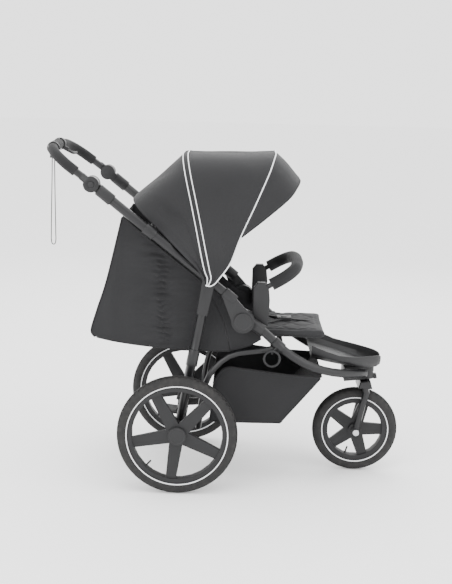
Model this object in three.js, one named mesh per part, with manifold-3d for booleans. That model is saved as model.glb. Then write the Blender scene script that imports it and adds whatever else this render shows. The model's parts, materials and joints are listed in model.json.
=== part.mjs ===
// A three-wheeled baby stroller with air tyres, folding frame, canopy, flat-lying seat and basket.
// Millimetres. +X is forward, +Y is the child's left, +Z is up; the ground is Z = 0.
import * as THREE from 'three';
import { mergeVertices } from 'three/addons/utils/BufferGeometryUtils.js';
import Module from 'manifold-3d';

const wasm = await Module();
wasm.setup();

// ---------------------------------------------------------------------------
// Driving sizes
// ---------------------------------------------------------------------------
const fit = 0.3; // gap between pieces that touch

// A value read off a table of rising [place, value] rows.
function tabled(rows) {
  return (place) => {
    const next = Math.min(Math.max(rows.findIndex(([at]) => at > place), 1), rows.length - 1);
    const index = place >= rows[rows.length - 1][0] ? rows.length - 1 : next;
    const [[at0, value0], [at1, value1]] = [rows[index - 1], rows[index]];
    return value0 + (value1 - value0) * Math.min(Math.max((place - at0) / (at1 - at0), 0), 1);
  };
}

// Wheels
const wheelbase = 614;
const track = 582; // between the rear tyres' middles
const rear = { radius: 200, bead: 160, rimInside: 149, tyreWidth: 44, rimWidth: 34, segments: 28 };
const front = { radius: 150, bead: 108, rimInside: 96, tyreWidth: 46, rimWidth: 36, segments: 24 };
const spokeCount = 5;
const rearHub = { radius: 31, inward: 30, outward: 21 };
const frontHub = { radius: 24, inward: 28, outward: 28 };
const valve = { radius: 3, length: 24 };

// Main frame, seen from the side
const rearAxleX = -152;
const handlePivot = { x: -444, z: 1015 };
const tubeSlope = THREE.MathUtils.degToRad(38.4); // fall of the upper tubes towards the front
const foldPivot = { x: 55, z: 577 };
const frameWidth = 474; // between the upper tubes' centre lines
const upperTubeRadius = 15.5;
const upperTubeStart = 84; // distances along the upper tube, from the handle pivot
const crossTubeAt = 241;
const legPivotAt = { distance: 487, above: 7 }; // the leg and the canopy turn on the same pin
const upperTubeEnd = 591;

// Fold hub: two discs side by side on each side of the frame
const hubRadius = 38;
const hubInside = 214; // distance of the inner disc's face from the middle
const hubDisc = 22;
const hubOuterDisc = 18;

// Front frame
const trail = 28;
const frontTubeRadius = 15;
const collar = { radius: frontTubeRadius + 4, length: 38 };
const head = { bottom: 337, top: 385.7, length: 78, halfWidth: 66, stemRadius: 11, noseRadius: 31 };
const fork = { legRadius: 12, halfWidth: 42, crownTop: 333, crownHeight: 26, axleRadius: 5.7 };

// Footrest tray
const tray = { start: 290, noseLength: 52, wall: 4, halfWidth: 162, lift: 386 };

// Rear legs and axle
const leg = { radius: 15, casing: 3, cheek: 7, cheekRadius: 24, tubeStart: 88, pinRadius: 6 };
const axleRadius = 12;
const spindleRadius = 8;
const housing = { length: 52, height: 74, inward: 27, outward: 17 };
const pedal = { width: 90, length: 62, thickness: 7, collarRadius: 19 };

// Basket and its frame
const basketFrame = { radius: 10, halfWidth: 212 };
const basketEnd = { x: -85, z: 201 };
const basket = { wall: 3, halfWidth: 186, floor: 214 };
const catchPlate = { at: 118, width: 18, radius: 22 };

// Seat and back
const seat = { halfWidth: 170, back: 24, front: 342, under: 508, thickness: 24 };
const bag = { halfWidth: 200, wall: 3 };
const backrest = { hinge: { x: 18, z: 484 }, length: 425, slope: 5, board: 8, pad: 22, halfWidth: 158 };
const buckle = { width: 46, height: 50, thickness: 14 };

// Bumper bar
const bracketWidth = 24.7;
const bumper = { start: { x: 146, z: 692 }, rise: 30, barRadius: 9, gripRadius: 18, reach: 105 };
const bumperStub = 46; // length of bar inside its bracket

// Handle
const handle = { tubeRadius: 12, gripRadius: 17, reach: 183, slope: 36.5, knuckle: 26, sleeveRadius: 19.5 };
const knuckleHalf = 24; // each half of the handle's knuckle, across the frame
const handleButton = { radius: 10, travel: 3, proud: 3.5 };
const gripBore = 1.2; // room between a foam grip's bore and its tube
const strap = { radius: 1.6, drop: 290, spread: 7, side: -120 };
const brake = { side: 52, clampRadius: 21, clampWidth: 24, leverLength: 92 };

// Canopy
const canopyHub = { radius: 20, plate: 3.2, capRadius: 13 };
const eyelet = { radius: 11, thickness: 7.6 };
const bowRadius = 3.5;
const rearEdge = { angle: 138, radius: 346 };
const midBow = { angle: 103.2, radius: 391 };
// The front bow bends forward near its feet: distance from the pivot and angle there.
const frontBow = {
  angle: tabled([[9, 34], [55, 34], [100, 45], [174, 55.5], [267, 59], [346, 60.8], [440, 62.4]]),
  radius: 440,
};
const visor = { start: 165, shorten: 22 };
const hoodStart = 18; // the hood's cloth starts this far from the canopy pivot
const cloth = 3;

// Transport ring
const ring = { radius: 26, wire: 4, pegRadius: 3 };

// ---------------------------------------------------------------------------
// Places worked out from the sizes
// ---------------------------------------------------------------------------
const frameHalf = frameWidth / 2;
const rearAxle = { x: rearAxleX, z: rear.radius };
const frontAxle = { x: rearAxleX + wheelbase, z: front.radius };
const steerX = frontAxle.x + trail;
const hubJoin = hubInside + hubDisc; // where the two discs of the fold hub meet
const sideGap = 0.5; // between pieces that swing past each other
const frontTubeHalfWidth = hubJoin - sideGap - frontTubeRadius;
const socketWall = 4.5; // round a tube's end
const bracket = { outside: frontTubeHalfWidth - frontTubeRadius - socketWall - fit };
bracket.inside = bracket.outside - bracketWidth;
const cheekInside = Math.max(frameHalf + upperTubeRadius, hubJoin + hubOuterDisc) + sideGap;
const casingBite = 0.5; // how far the leg's casing reaches into its cheek plate
const legHalf = cheekInside + casingBite - leg.radius - leg.casing;
const cheekOutside = cheekInside + leg.cheek;
const housingInside = legHalf - housing.inward;
const housingOutside = legHalf + housing.outward;
const sides = [[-1, 'right'], [1, 'left']];

const alongTube = (distance, offset = 0) => ({
  x: handlePivot.x + distance * Math.cos(tubeSlope) + offset * Math.sin(tubeSlope),
  z: handlePivot.z - distance * Math.sin(tubeSlope) + offset * Math.cos(tubeSlope),
});
const legPivot = alongTube(legPivotAt.distance, legPivotAt.above);
const canopyPivot = legPivot;
const point = (place, y) => new THREE.Vector3(place.x, y, place.z);
const polar = (centre, degrees, radius) => ({
  x: centre.x + radius * Math.cos(THREE.MathUtils.degToRad(degrees)),
  z: centre.z + radius * Math.sin(THREE.MathUtils.degToRad(degrees)),
});
const between = (a, b, share) => ({ x: a.x + (b.x - a.x) * share, z: a.z + (b.z - a.z) * share });

// ---------------------------------------------------------------------------
// Shape helpers
// ---------------------------------------------------------------------------

// A manifold solid from a three.js geometry, whichever way round its faces are.
function solid(geometry) {
  const bare = geometry.clone();
  for (const name of Object.keys(bare.attributes)) {
    if (name !== 'position') bare.deleteAttribute(name);
  }
  const merged = mergeVertices(bare, 1e-3);
  const places = merged.attributes.position.array;
  const corner = (index) => new THREE.Vector3().fromArray(places, index * 3);
  const faces = [];
  let volume = 0;
  for (let i = 0; i < merged.index.count; i += 3) {
    const [a, b, c] = merged.index.array.slice(i, i + 3);
    if (a === b || b === c || c === a) continue;
    volume += corner(a).dot(corner(b).cross(corner(c)));
    faces.push(a, b, c);
  }
  if (volume < 0) faces.reverse();
  return new wasm.Manifold(new wasm.Mesh({
    numProp: 3,
    vertProperties: new Float32Array(places),
    triVerts: new Uint32Array(faces),
  }));
}

function geometryOf(shape) {
  const mesh = shape.getMesh();
  const geometry = new THREE.BufferGeometry();
  geometry.setAttribute('position', new THREE.BufferAttribute(mesh.vertProperties, 3));
  geometry.setIndex(new THREE.BufferAttribute(mesh.triVerts, 1));
  return geometry;
}

const join = (...shapes) => shapes.reduce((whole, next) => whole.add(next));
const cut = (whole, ...tools) => tools.reduce((left, tool) => left.subtract(tool), whole);

// A round rod between two points.
function rod(from, to, radius, facets = 12) {
  const length = from.distanceTo(to);
  const geometry = new THREE.CylinderGeometry(radius, radius, length, facets);
  const turn = new THREE.Quaternion().setFromUnitVectors(
    new THREE.Vector3(0, 1, 0), to.clone().sub(from).normalize());
  geometry.applyQuaternion(turn);
  geometry.translate(...from.clone().add(to).multiplyScalar(0.5).toArray());
  return solid(geometry);
}

// A round disc or rod across the object, from y0 to y1.
const crossRod = (place, y0, y1, radius, facets = 12) =>
  rod(point(place, y0), point(place, y1), radius, facets);

// A side-view outline, made solid across the object from y0 to y1.
function slab(outline, y0, y1, bevel = 0) {
  const shape = Array.isArray(outline)
    ? new THREE.Shape(outline.map(([x, z]) => new THREE.Vector2(x, z))) : outline;
  const low = Math.min(y0, y1);
  const width = Math.abs(y1 - y0);
  const geometry = new THREE.ExtrudeGeometry(shape, {
    depth: width - 2 * bevel, bevelEnabled: bevel > 0, bevelThickness: bevel, bevelSize: bevel,
    bevelOffset: -bevel, bevelSegments: 1, curveSegments: 8,
  });
  geometry.rotateX(Math.PI / 2);
  geometry.translate(0, low + width - bevel, 0);
  return solid(geometry);
}

// A round section swept along a curve, with a bore where one is given.
function sweep(curve, radius, steps, facets = 8, bore = 0) {
  const shape = new THREE.Shape();
  shape.absarc(0, 0, radius, 0, Math.PI * 2);
  if (bore > 0) shape.holes.push(new THREE.Path().absarc(0, 0, bore, 0, Math.PI * 2, true));
  return solid(new THREE.ExtrudeGeometry(shape, {
    extrudePath: curve, steps, bevelEnabled: false, curveSegments: facets / 2,
  }));
}
const spline = (points) => new THREE.CatmullRomCurve3(points, false, 'centripetal');

// Part of another curve, measured by length from one share to the other.
class Stretch extends THREE.Curve {
  constructor(whole, from, to) {
    super();
    Object.assign(this, { whole, from, to });
  }

  getPoint(t, target = new THREE.Vector3()) {
    return this.whole.getPointAt(this.from + (this.to - this.from) * t, target);
  }
}

// A sheet of even grain between two grids of points with the same rows and columns.
function thickSheet(outer, inner) {
  const rows = outer.length;
  const columns = outer[0].length;
  const flat = [...outer.flat(), ...inner.flat()];
  const at = (layer, row, column) => layer * rows * columns + row * columns + column;
  const faces = [];
  const quad = (a, b, c, d) => faces.push(a, b, c, a, c, d);
  for (let r = 0; r < rows - 1; r += 1) {
    for (let c = 0; c < columns - 1; c += 1) {
      quad(at(0, r, c), at(0, r, c + 1), at(0, r + 1, c + 1), at(0, r + 1, c));
      quad(at(1, r, c), at(1, r + 1, c), at(1, r + 1, c + 1), at(1, r, c + 1));
    }
    quad(at(0, r, 0), at(0, r + 1, 0), at(1, r + 1, 0), at(1, r, 0));
    const last = columns - 1;
    quad(at(0, r, last), at(1, r, last), at(1, r + 1, last), at(0, r + 1, last));
  }
  for (let c = 0; c < columns - 1; c += 1) {
    quad(at(0, 0, c), at(1, 0, c), at(1, 0, c + 1), at(0, 0, c + 1));
    const last = rows - 1;
    quad(at(0, last, c), at(0, last, c + 1), at(1, last, c + 1), at(1, last, c));
  }
  const geometry = new THREE.BufferGeometry().setFromPoints(flat);
  geometry.setIndex(faces);
  return solid(geometry);
}

const look = (color, roughness, metalness = 0) =>
  new THREE.MeshStandardMaterial({ color, roughness, metalness });
const paintedTube = () => look(0x1c1c1f, 0.32, 0.6);
const plastic = () => look(0x202022, 0.55);
const rubber = () => look(0x19191a, 0.85);
const foam = () => look(0x232324, 0.9);
const fabric = () => look(0x3b3b3e, 0.95);
const steel = () => look(0x9a9b9e, 0.35, 0.9);

const stroller = new THREE.Group();
function add(name, shape, material) {
  const mesh = new THREE.Mesh(geometryOf(shape), material);
  mesh.name = name;
  stroller.add(mesh);
}

// ---------------------------------------------------------------------------
// Wheels
// ---------------------------------------------------------------------------

// A closed section, [radius, across], turned about the axle. Its flats touch the stated radii, and one
// flat faces straight down.
function turned(profile, segments) {
  const grow = 1 / Math.cos(Math.PI / segments);
  return solid(new THREE.LatheGeometry(
    profile.map(([r, y]) => new THREE.Vector2(r * grow, y)), segments, Math.PI / segments));
}
const mirrored = (half) => [
  ...half.map(([r, y]) => [r, -y]), ...half.slice().reverse(), [half[0][0], -half[0][1]],
];

function tyre(size) {
  const { radius, bead, tyreWidth, rimWidth, segments } = size;
  const height = radius - bead;
  const wide = tyreWidth / 2;
  const foot = rimWidth / 2 - 2;
  const half = [
    [bead, foot], [bead + height * 0.15, foot], [bead + height * 0.5, wide],
    [radius - height * 0.17, wide * 0.78], [radius, wide * 0.3],
  ];
  return turned(mirrored(half), segments);
}

// A rim with flanges that hold the tyre, spokes, a hub, a valve and a bore for the axle.
function rim(size, hub, bore, firstSpoke, valveAngle, outside) {
  const { bead, rimInside, rimWidth, segments } = size;
  const seat = bead - fit;
  const flange = bead + (size.radius - bead) * 0.12;
  const wide = rimWidth / 2;
  const foot = wide - 2 + fit;
  const half = [[rimInside, wide], [flange, wide], [flange, foot], [seat, foot]];
  const hoopShape = turned(mirrored(half), segments);
  const centre = { x: 0, z: 0 };
  const middle = crossRod(centre, -hub.inward * outside, hub.outward * outside, hub.radius, 20);
  const spokes = [];
  for (let i = 0; i < spokeCount; i += 1) {
    const angle = firstSpoke + (i * 360) / spokeCount;
    const corners = [
      [hub.radius * 0.5, 23], [rimInside + 3, 17], [rimInside + 3, -17], [hub.radius * 0.5, -23],
    ];
    const outline = corners.map(([reach, across]) => {
      const place = polar(polar(centre, angle, reach), angle + 90, across);
      return [place.x, place.z];
    });
    spokes.push(slab(outline, -9, 9));
  }
  const stem = rod(point(polar(centre, valveAngle, rimInside + 2), 0),
    point(polar(centre, valveAngle, rimInside - valve.length), 0), valve.radius, 8);
  const hole = crossRod(centre, -(hub.inward + 1) * outside, (hub.outward - 4) * outside, bore + fit);
  return cut(join(hoopShape, middle, stem, ...spokes), hole);
}

const spun = (shape, place, y = 0) => shape.translate([place.x, y, place.z]);

add('front_tyre', spun(tyre(front), frontAxle), rubber());
const frontThrough = crossRod(frontAxle, -60, 60, fork.axleRadius + fit);
add('front_rim', cut(spun(rim(front, frontHub, fork.axleRadius, 0, 252, 1), frontAxle), frontThrough), plastic());
for (const [side, hand] of sides) {
  const y = (side * track) / 2;
  add(`rear_tyre_${hand}`, spun(tyre(rear), rearAxle, y), rubber());
  add(`rear_rim_${hand}`, spun(rim(rear, rearHub, spindleRadius, 263, 227, side), rearAxle, y), plastic());
}

// ---------------------------------------------------------------------------
// Fork and steering
// ---------------------------------------------------------------------------
const crownBottom = fork.crownTop - fork.crownHeight;
const crownShape = [
  [steerX - 26, crownBottom], [steerX + 24, crownBottom], [steerX + 17, fork.crownTop],
  [steerX - 19, fork.crownTop],
];
const crown = slab(crownShape, -(fork.halfWidth + 12), fork.halfWidth + 12, 3);
const stem = rod(new THREE.Vector3(steerX, 0, fork.crownTop - 6),
  new THREE.Vector3(steerX, 0, head.top - 16), head.stemRadius, 16);
const forkLegs = sides.map(([side]) => {
  const y = side * fork.halfWidth;
  const bend = spline([
    new THREE.Vector3(steerX - 2, y, crownBottom + 6), new THREE.Vector3(steerX + 4, y, crownBottom - 18),
    new THREE.Vector3(steerX - 8, y, frontAxle.z + 95), point({ x: frontAxle.x + 4, z: frontAxle.z + 20 }, y),
    point(frontAxle, y),
  ]);
  const dropout = crossRod(frontAxle, y - 6, y + 6, 15);
  return join(sweep(bend, fork.legRadius, 8), dropout);
});
const axleBore = crossRod(frontAxle, -fork.halfWidth - 20, fork.halfWidth + 20, fork.axleRadius + fit);
add('fork', cut(join(crown, stem, ...forkLegs), axleBore), paintedTube());
const axleHeads = sides.map(([side]) => crossRod(
  frontAxle, side * (fork.halfWidth + fork.legRadius + fit), side * (fork.halfWidth + fork.legRadius + 8), 11));
add('front_axle', join(
  crossRod(frontAxle, -fork.halfWidth - 16, fork.halfWidth + 16, fork.axleRadius), ...axleHeads), steel());

// ---------------------------------------------------------------------------
// Front frame: tubes, fold hubs, steering head and footrest
// ---------------------------------------------------------------------------

// The front tube's middle line: share of the reach to the steering axis, height and distance from the middle.
const reach = steerX - foldPivot.x;
const frontLine = (side) => spline([
  [0.035, foldPivot.z - 2, frontTubeHalfWidth], [0.13, foldPivot.z - 26, frontTubeHalfWidth],
  [0.22, 516, frontTubeHalfWidth], [0.33, 474, 218], [0.49, 428, 201], [0.65, 398, 168],
  [0.81, 379, 122], [0.92, 370, 83], [0.985, 364, 52],
].map(([share, z, y]) => new THREE.Vector3(foldPivot.x + share * reach, side * y, z)));
const frontSteps = 13;
const frontTube = (side, radius) => sweep(frontLine(side), radius, frontSteps);

for (const [side, hand] of sides) {
  const line = frontLine(side);
  add(`front_tube_${hand}`, frontTube(side, frontTubeRadius), paintedTube());
  const disc = crossRod(foldPivot, side * hubInside, side * hubJoin, hubRadius, 24);
  const socket = rod(line.getPointAt(0.02), line.getPointAt(0.115), frontTubeRadius + socketWall, 14);
  const pin = crossRod(foldPivot, side * hubInside, side * (hubJoin + hubOuterDisc + 3), 7);
  const socketTrim = crossRod(foldPivot, side * hubJoin, side * (hubJoin + 40), hubRadius + 2, 24);
  add(`fold_hub_inner_${hand}`,
    join(cut(join(disc, socket), socketTrim, frontTube(side, frontTubeRadius + fit)), pin), plastic());
}

const headOutline = new THREE.Shape([
  new THREE.Vector2(steerX - head.length, -head.halfWidth),
  new THREE.Vector2(steerX - 8, -head.noseRadius - 6),
]);
headOutline.absarc(steerX, 0, head.noseRadius, -Math.PI / 2, Math.PI / 2);
headOutline.lineTo(steerX - 8, head.noseRadius + 6);
headOutline.lineTo(steerX - head.length, head.halfWidth);
const headBlock = new THREE.ExtrudeGeometry(headOutline, {
  depth: head.top - head.bottom, bevelEnabled: false, curveSegments: 10,
});
headBlock.translate(0, 0, head.bottom);
const stemHole = rod(new THREE.Vector3(steerX, 0, head.bottom - 1),
  new THREE.Vector3(steerX, 0, head.top - 16 + fit), head.stemRadius + fit, 16);
const lockSlot = slab([
  [steerX + 13.8, head.bottom - 1], [steerX + 40, head.bottom - 1], [steerX + 40, head.bottom + 24],
  [steerX + 13.8, head.bottom + 24],
], -12, 12);
add('steering_head', cut(solid(headBlock), stemHole, lockSlot,
  frontTube(-1, frontTubeRadius + fit), frontTube(1, frontTubeRadius + fit)), plastic());
add('swivel_lock', slab([
  [steerX + 16 + fit, head.bottom + 4], [steerX + 34, head.bottom - 3], [steerX + 43, head.bottom],
  [steerX + 40, head.bottom + 15], [steerX + 16 + fit, head.bottom + 15],
], -12 + fit, 12 - fit, 1.5), plastic());

// The footrest is a boat-shaped tray: floor height, rim height and half width from its back to its nose.
const noseTip = steerX + tray.noseLength;
const trayRows = [
  [0, 433, 483, tray.halfWidth], [0.19, 420, 462, 152], [0.38, 409, 444, 139], [0.55, 400, 437, 122],
  [0.7, 392, 433, 99], [0.83, tray.lift, 430, 72], [0.93, tray.lift, 427, 50], [0.985, 392, 423, 31],
  [1, 402, 418, 18],
];
const traySection = (share, floor, rimHeight, wide, inset) => {
  const x = tray.start + share * (noseTip - tray.start) - (share > 0.9 ? inset : 0);
  const low = floor + inset;
  const w = wide - inset;
  return [[-w, rimHeight], [-w * 0.96, floor + (rimHeight - floor) * 0.45 + inset * 0.5], [-w * 0.78, low],
    [w * 0.78, low], [w * 0.96, floor + (rimHeight - floor) * 0.45 + inset * 0.5], [w, rimHeight]]
    .map(([y, z]) => new THREE.Vector3(x, y, z));
};
add('footrest_tray', thickSheet(
  trayRows.map((row) => traySection(...row, 0)), trayRows.map((row) => traySection(...row, tray.wall))), plastic());

// ---------------------------------------------------------------------------
// Seat, basket and the frame that carries the basket
// ---------------------------------------------------------------------------
const collarAt = 0.25; // share of the front tube's length
const seatBarLine = frontLine(1).getPointAt(collarAt + 0.025);
const seatBar = { x: seatBarLine.x, z: Math.min(seatBarLine.z, seat.under - basketFrame.radius - fit) };
const collarInside = frontLine(1).getPointAt(collarAt).y - collar.radius;
const seatBarHalf = Math.min(basketFrame.halfWidth - basketFrame.radius - 1, collarInside) - sideGap;

for (const [side, hand] of sides) {
  const line = frontLine(side);
  const middle = line.getPointAt(collarAt);
  const along = line.getTangentAt(collarAt).multiplyScalar(collar.length / 2);
  const ringShape = rod(middle.clone().sub(along), middle.clone().add(along), collar.radius, 14);
  const y = side * basketFrame.halfWidth;
  const stay = spline([
    new THREE.Vector3(middle.x - 8, y, middle.z - 12), new THREE.Vector3(middle.x - 50, y, middle.z - 22),
    new THREE.Vector3(19, y, 454), new THREE.Vector3(-36, y, 408), new THREE.Vector3(-62, y, 360),
    new THREE.Vector3(basketEnd.x + 8, y, 290), point(basketEnd, y),
  ]);
  const shapes = [ringShape, sweep(stay, basketFrame.radius, 14)];
  if (side < 0) {
    // The ring's lug and peg are outside the right collar only.
    const peg = { x: middle.x - 19, z: middle.z - 24 };
    const outsideFace = frontTubeHalfWidth + frontTubeRadius;
    shapes.push(rod(point(middle, side * (outsideFace - 2)), point(peg, side * (outsideFace - 2)), 4, 8));
    shapes.push(crossRod(peg, side * (outsideFace - 6), side * (outsideFace + 13), ring.pegRadius, 10));
    const loop = new THREE.TorusGeometry(ring.radius, ring.wire, 6, 16);
    loop.rotateX(Math.PI / 2);
    loop.translate(peg.x, side * (outsideFace + 7),
      peg.z + ring.pegRadius + fit + 0.3 + ring.wire - ring.radius);
    add('transport_ring', solid(loop), plastic());
  }
  add(`basket_frame_${hand}`, cut(join(...shapes), frontTube(side, frontTubeRadius + fit)), paintedTube());
}

const seatTube = crossRod(seatBar, -seatBarHalf, seatBarHalf, basketFrame.radius, 12);
add('seat_cross_tube', seatTube, paintedTube());

// The cross tube behind the basket carries two open catches that the rear axle rests in.
const crossHalf = basketFrame.halfWidth - basketFrame.radius - fit;
const catches = sides.map(([side]) => {
  const y0 = side * (catchPlate.at - catchPlate.width / 2);
  const y1 = side * (catchPlate.at + catchPlate.width / 2);
  const seatRing = crossRod(rearAxle, y0, y1, catchPlate.radius, 20);
  const arm = slab([
    [basketEnd.x + 6, basketEnd.z + 12], [basketEnd.x + 6, basketEnd.z - 12],
    [rearAxle.x + 6, rearAxle.z - 16], [rearAxle.x + 6, rearAxle.z + 10],
  ], y0, y1);
  const mouth = slab([
    [rearAxle.x - 40, rearAxle.z - 8], [rearAxle.x - axleRadius - 1, rearAxle.z - 8],
    [rearAxle.x + axleRadius + 1, rearAxle.z + 6], [rearAxle.x + axleRadius + 8, rearAxle.z + 40],
    [rearAxle.x - 40, rearAxle.z + 40],
  ], y0 * 1.2 - y1 * 0.2, y1 * 1.2 - y0 * 0.2);
  return cut(join(seatRing, arm), mouth);
});
const axleRoom = crossRod(rearAxle, -crossHalf, crossHalf, axleRadius + fit + 0.5, 20);
add('basket_cross_tube', cut(
  join(crossRod(basketEnd, -crossHalf, crossHalf, basketFrame.radius, 12), ...catches), axleRoom), paintedTube());

const basketTop = [[327, 380], [67, 404], [0, 404], [-40, 350]];
const basketOutline = [[basketEnd.x + 20, basket.floor + 30], [basketEnd.x + 32, basket.floor],
  [190, basket.floor], [214, basket.floor + 18], ...basketTop];
const basketInside = [[basketEnd.x + 22, basket.floor + 60], [basketEnd.x + 35, basket.floor + basket.wall],
  [188, basket.floor + basket.wall], [211, basket.floor + 22], [324, 378], [330, 460], [-60, 460]];
add('basket', cut(
  slab(basketOutline, -basket.halfWidth, basket.halfWidth),
  slab(basketInside, -basket.halfWidth + basket.wall, basket.halfWidth - basket.wall)), fabric());

add('seat_pad', slab([
  [seat.back, seat.under], [seat.front - 12, seat.under - 2], [seat.front, seat.under + 6],
  [seat.front - 2, seat.under + seat.thickness - 2], [seat.front - 13, seat.under + seat.thickness + 1],
  [seat.back, seat.under + seat.thickness],
], -seat.halfWidth, seat.halfWidth, 4), fabric());

// Harness buckle on the seat, with its press button.
const buckleX = seat.back + 150;
const buckleTop = seat.under + seat.thickness + 1 + fit + buckle.thickness;
const buckleBody = slab([
  [buckleX, buckleTop - buckle.thickness], [buckleX + buckle.height, buckleTop - buckle.thickness],
  [buckleX + buckle.height, buckleTop], [buckleX, buckleTop],
], -buckle.width / 2, buckle.width / 2, 2);
const buttonPlace = { x: buckleX + buckle.height / 2, z: buckleTop };
const upright = (place, low, high, radius, facets) =>
  rod(new THREE.Vector3(place.x, 0, place.z + low), new THREE.Vector3(place.x, 0, place.z + high), radius, facets);
add('harness_buckle', cut(buckleBody, upright(buttonPlace, -7, 1, 11 + fit, 16)), plastic());
add('buckle_button', upright(buttonPlace, -3, 1.5, 11, 16), plastic());

// ---------------------------------------------------------------------------
// Bumper bar
// ---------------------------------------------------------------------------
const rise = THREE.MathUtils.degToRad(bumper.rise);
const bumperPlace = (distance) => ({
  x: bumper.start.x + distance * Math.cos(rise), z: bumper.start.z + distance * Math.sin(rise),
});
const bracketMiddle = (bracket.inside + bracket.outside) / 2;
const bumperLine = spline([
  [-bumperStub, -1], [-bumperStub / 2, -1], [0, -1], [bumper.reach * 0.42, -0.985], [bumper.reach * 0.78, -0.82],
  [bumper.reach * 0.95, -0.5], [bumper.reach, 0], [bumper.reach * 0.95, 0.5], [bumper.reach * 0.78, 0.82],
  [bumper.reach * 0.42, 0.985], [0, 1], [-bumperStub / 2, 1], [-bumperStub, 1],
].map(([distance, across]) => point(bumperPlace(distance), across * bracketMiddle)));
const bumperSteps = 20;
const gripFrom = 2 / bumperSteps;
add('bumper_bar', sweep(bumperLine, bumper.barRadius, bumperSteps), paintedTube());
add('bumper_grip', sweep(new Stretch(bumperLine, gripFrom, 1 - gripFrom), bumper.gripRadius, bumperSteps - 4,
  8, bumper.barRadius + gripBore), foam());

for (const [side, hand] of sides) {
  const y = side * bracketMiddle;
  const socket = rod(
    point(bumperPlace(-bumperStub - 3), y), point(bumperPlace(40), y), bumper.barRadius + fit + 0.3);
  const gripRoom = rod(point(bumperPlace(-14), y), point(bumperPlace(40), y), bumper.gripRadius + 1.5, 16);
  const shield = new THREE.Shape([
    new THREE.Vector2(86, 556), new THREE.Vector2(138, 556), new THREE.Vector2(143, 640),
    new THREE.Vector2(139, 680), new THREE.Vector2(127, 700), new THREE.Vector2(101, 700),
    new THREE.Vector2(87, 682),
  ]);
  add(`bumper_bracket_${hand}`,
    cut(slab(shield, side * bracket.inside, side * bracket.outside, 2), socket, gripRoom), plastic());
}

// ---------------------------------------------------------------------------
// Upper frame
// ---------------------------------------------------------------------------
const clampHalf = 20;
for (const [side, hand] of sides) {
  const y = side * frameHalf;
  const legHole = crossRod(legPivot, y - 20, y + 20, leg.pinRadius + fit);
  add(`upper_tube_${hand}`, cut(rod(
    point(alongTube(upperTubeStart - 30), y), point(alongTube(upperTubeEnd), y), upperTubeRadius, 14), legHole),
  paintedTube());

  // Outer half of the fold hub: a disc, a web and a socket round the tube's end.
  const y0 = side * (hubJoin + fit);
  const y1 = side * (hubJoin + hubOuterDisc);
  const disc = crossRod(foldPivot, y0, y1, hubRadius, 24);
  const tubeEnd = alongTube(upperTubeEnd + 8);
  const tubeIn = alongTube(upperTubeEnd - 38);
  const web = slab([
    [foldPivot.x + 34, foldPivot.z + 12], [foldPivot.x - 30, foldPivot.z - 18],
    [tubeIn.x - 4, tubeIn.z - 12], [tubeEnd.x + 8, tubeEnd.z + 8],
  ], y0, y1);
  const socket = rod(point(tubeIn, y), point(tubeEnd, y), upperTubeRadius + socketWall, 14);
  const bore = rod(point(alongTube(upperTubeEnd - 60), y), point(alongTube(upperTubeEnd + fit), y),
    upperTubeRadius + fit, 14);
  const pinHole = crossRod(foldPivot, side * (hubJoin - 1), side * (hubJoin + hubOuterDisc + 4), 7 + fit);
  add(`fold_hub_outer_${hand}`, cut(join(disc, web, socket), bore, pinHole), plastic());

  // Fixed half of the handle's knuckle and the sleeve round the tube's top.
  const inner0 = side * (frameHalf - knuckleHalf);
  const inner1 = side * (frameHalf - fit / 2);
  const sleeve = rod(point(alongTube(28), y), point(alongTube(upperTubeStart), y), handle.sleeveRadius, 14);
  const knuckleDisc = crossRod(handlePivot, inner0, inner1, handle.knuckle, 20);
  const neckPlaces = [alongTube(0, 15), alongTube(32, 15), alongTube(32, -15), alongTube(0, -15)];
  const neck = slab(neckPlaces.map(({ x, z }) => [x, z]), inner0 * 0.99 + inner1 * 0.01, inner1);
  const tubeRoom = rod(point(alongTube(upperTubeStart - 30 - fit), y),
    point(alongTube(upperTubeStart + 5), y), upperTubeRadius + fit, 14);
  const pivotBore = crossRod(handlePivot, side * (frameHalf - 9), side * (frameHalf + 1), 8 + fit);
  add(`handle_socket_${hand}`, cut(join(sleeve, knuckleDisc, neck), tubeRoom, pivotBore), plastic());
}

// The bar across the back, clamped to both tubes.
const clampMiddle = alongTube(crossTubeAt);
const clamps = sides.map(([side]) => rod(
  point(alongTube(crossTubeAt - clampHalf), side * frameHalf),
  point(alongTube(crossTubeAt + clampHalf), side * frameHalf), upperTubeRadius + 5, 14));
const clampBores = sides.map(([side]) => rod(
  point(alongTube(crossTubeAt - 60), side * frameHalf),
  point(alongTube(crossTubeAt + 60), side * frameHalf), upperTubeRadius + fit, 14));
add('back_cross_tube', cut(join(
  crossRod(clampMiddle, -frameHalf, frameHalf, 9, 12), ...clamps), ...clampBores), paintedTube());

// The deep cloth body behind the seat: floor, sides and back, open at the top and the front.
const bagTop = [alongTube(legPivotAt.distance - 10, -26), alongTube(crossTubeAt + 30, -26), alongTube(142, -26)];
const bagOutline = [[seat.back - 6, 463], [-20, 590], ...bagTop.map(({ x, z }) => [x, z]),
  [-400, 690], [-452, 520], [-440, 500], [-252, 472]];
const bagInside = [[40, 466], [40, 620], [0, 760], ...[alongTube(crossTubeAt, 40), alongTube(130, 20)]
  .map(({ x, z }) => [x, z]), [alongTube(142).x - 10 + bag.wall, alongTube(142, -26).z - 6],
[-396, 692], [-448, 522], [-438, 504], [-252, 475]];
add('back_fabric', cut(
  slab(bagOutline, -bag.halfWidth, bag.halfWidth),
  slab(bagInside, -bag.halfWidth + bag.wall, bag.halfWidth - bag.wall)), fabric());

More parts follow.
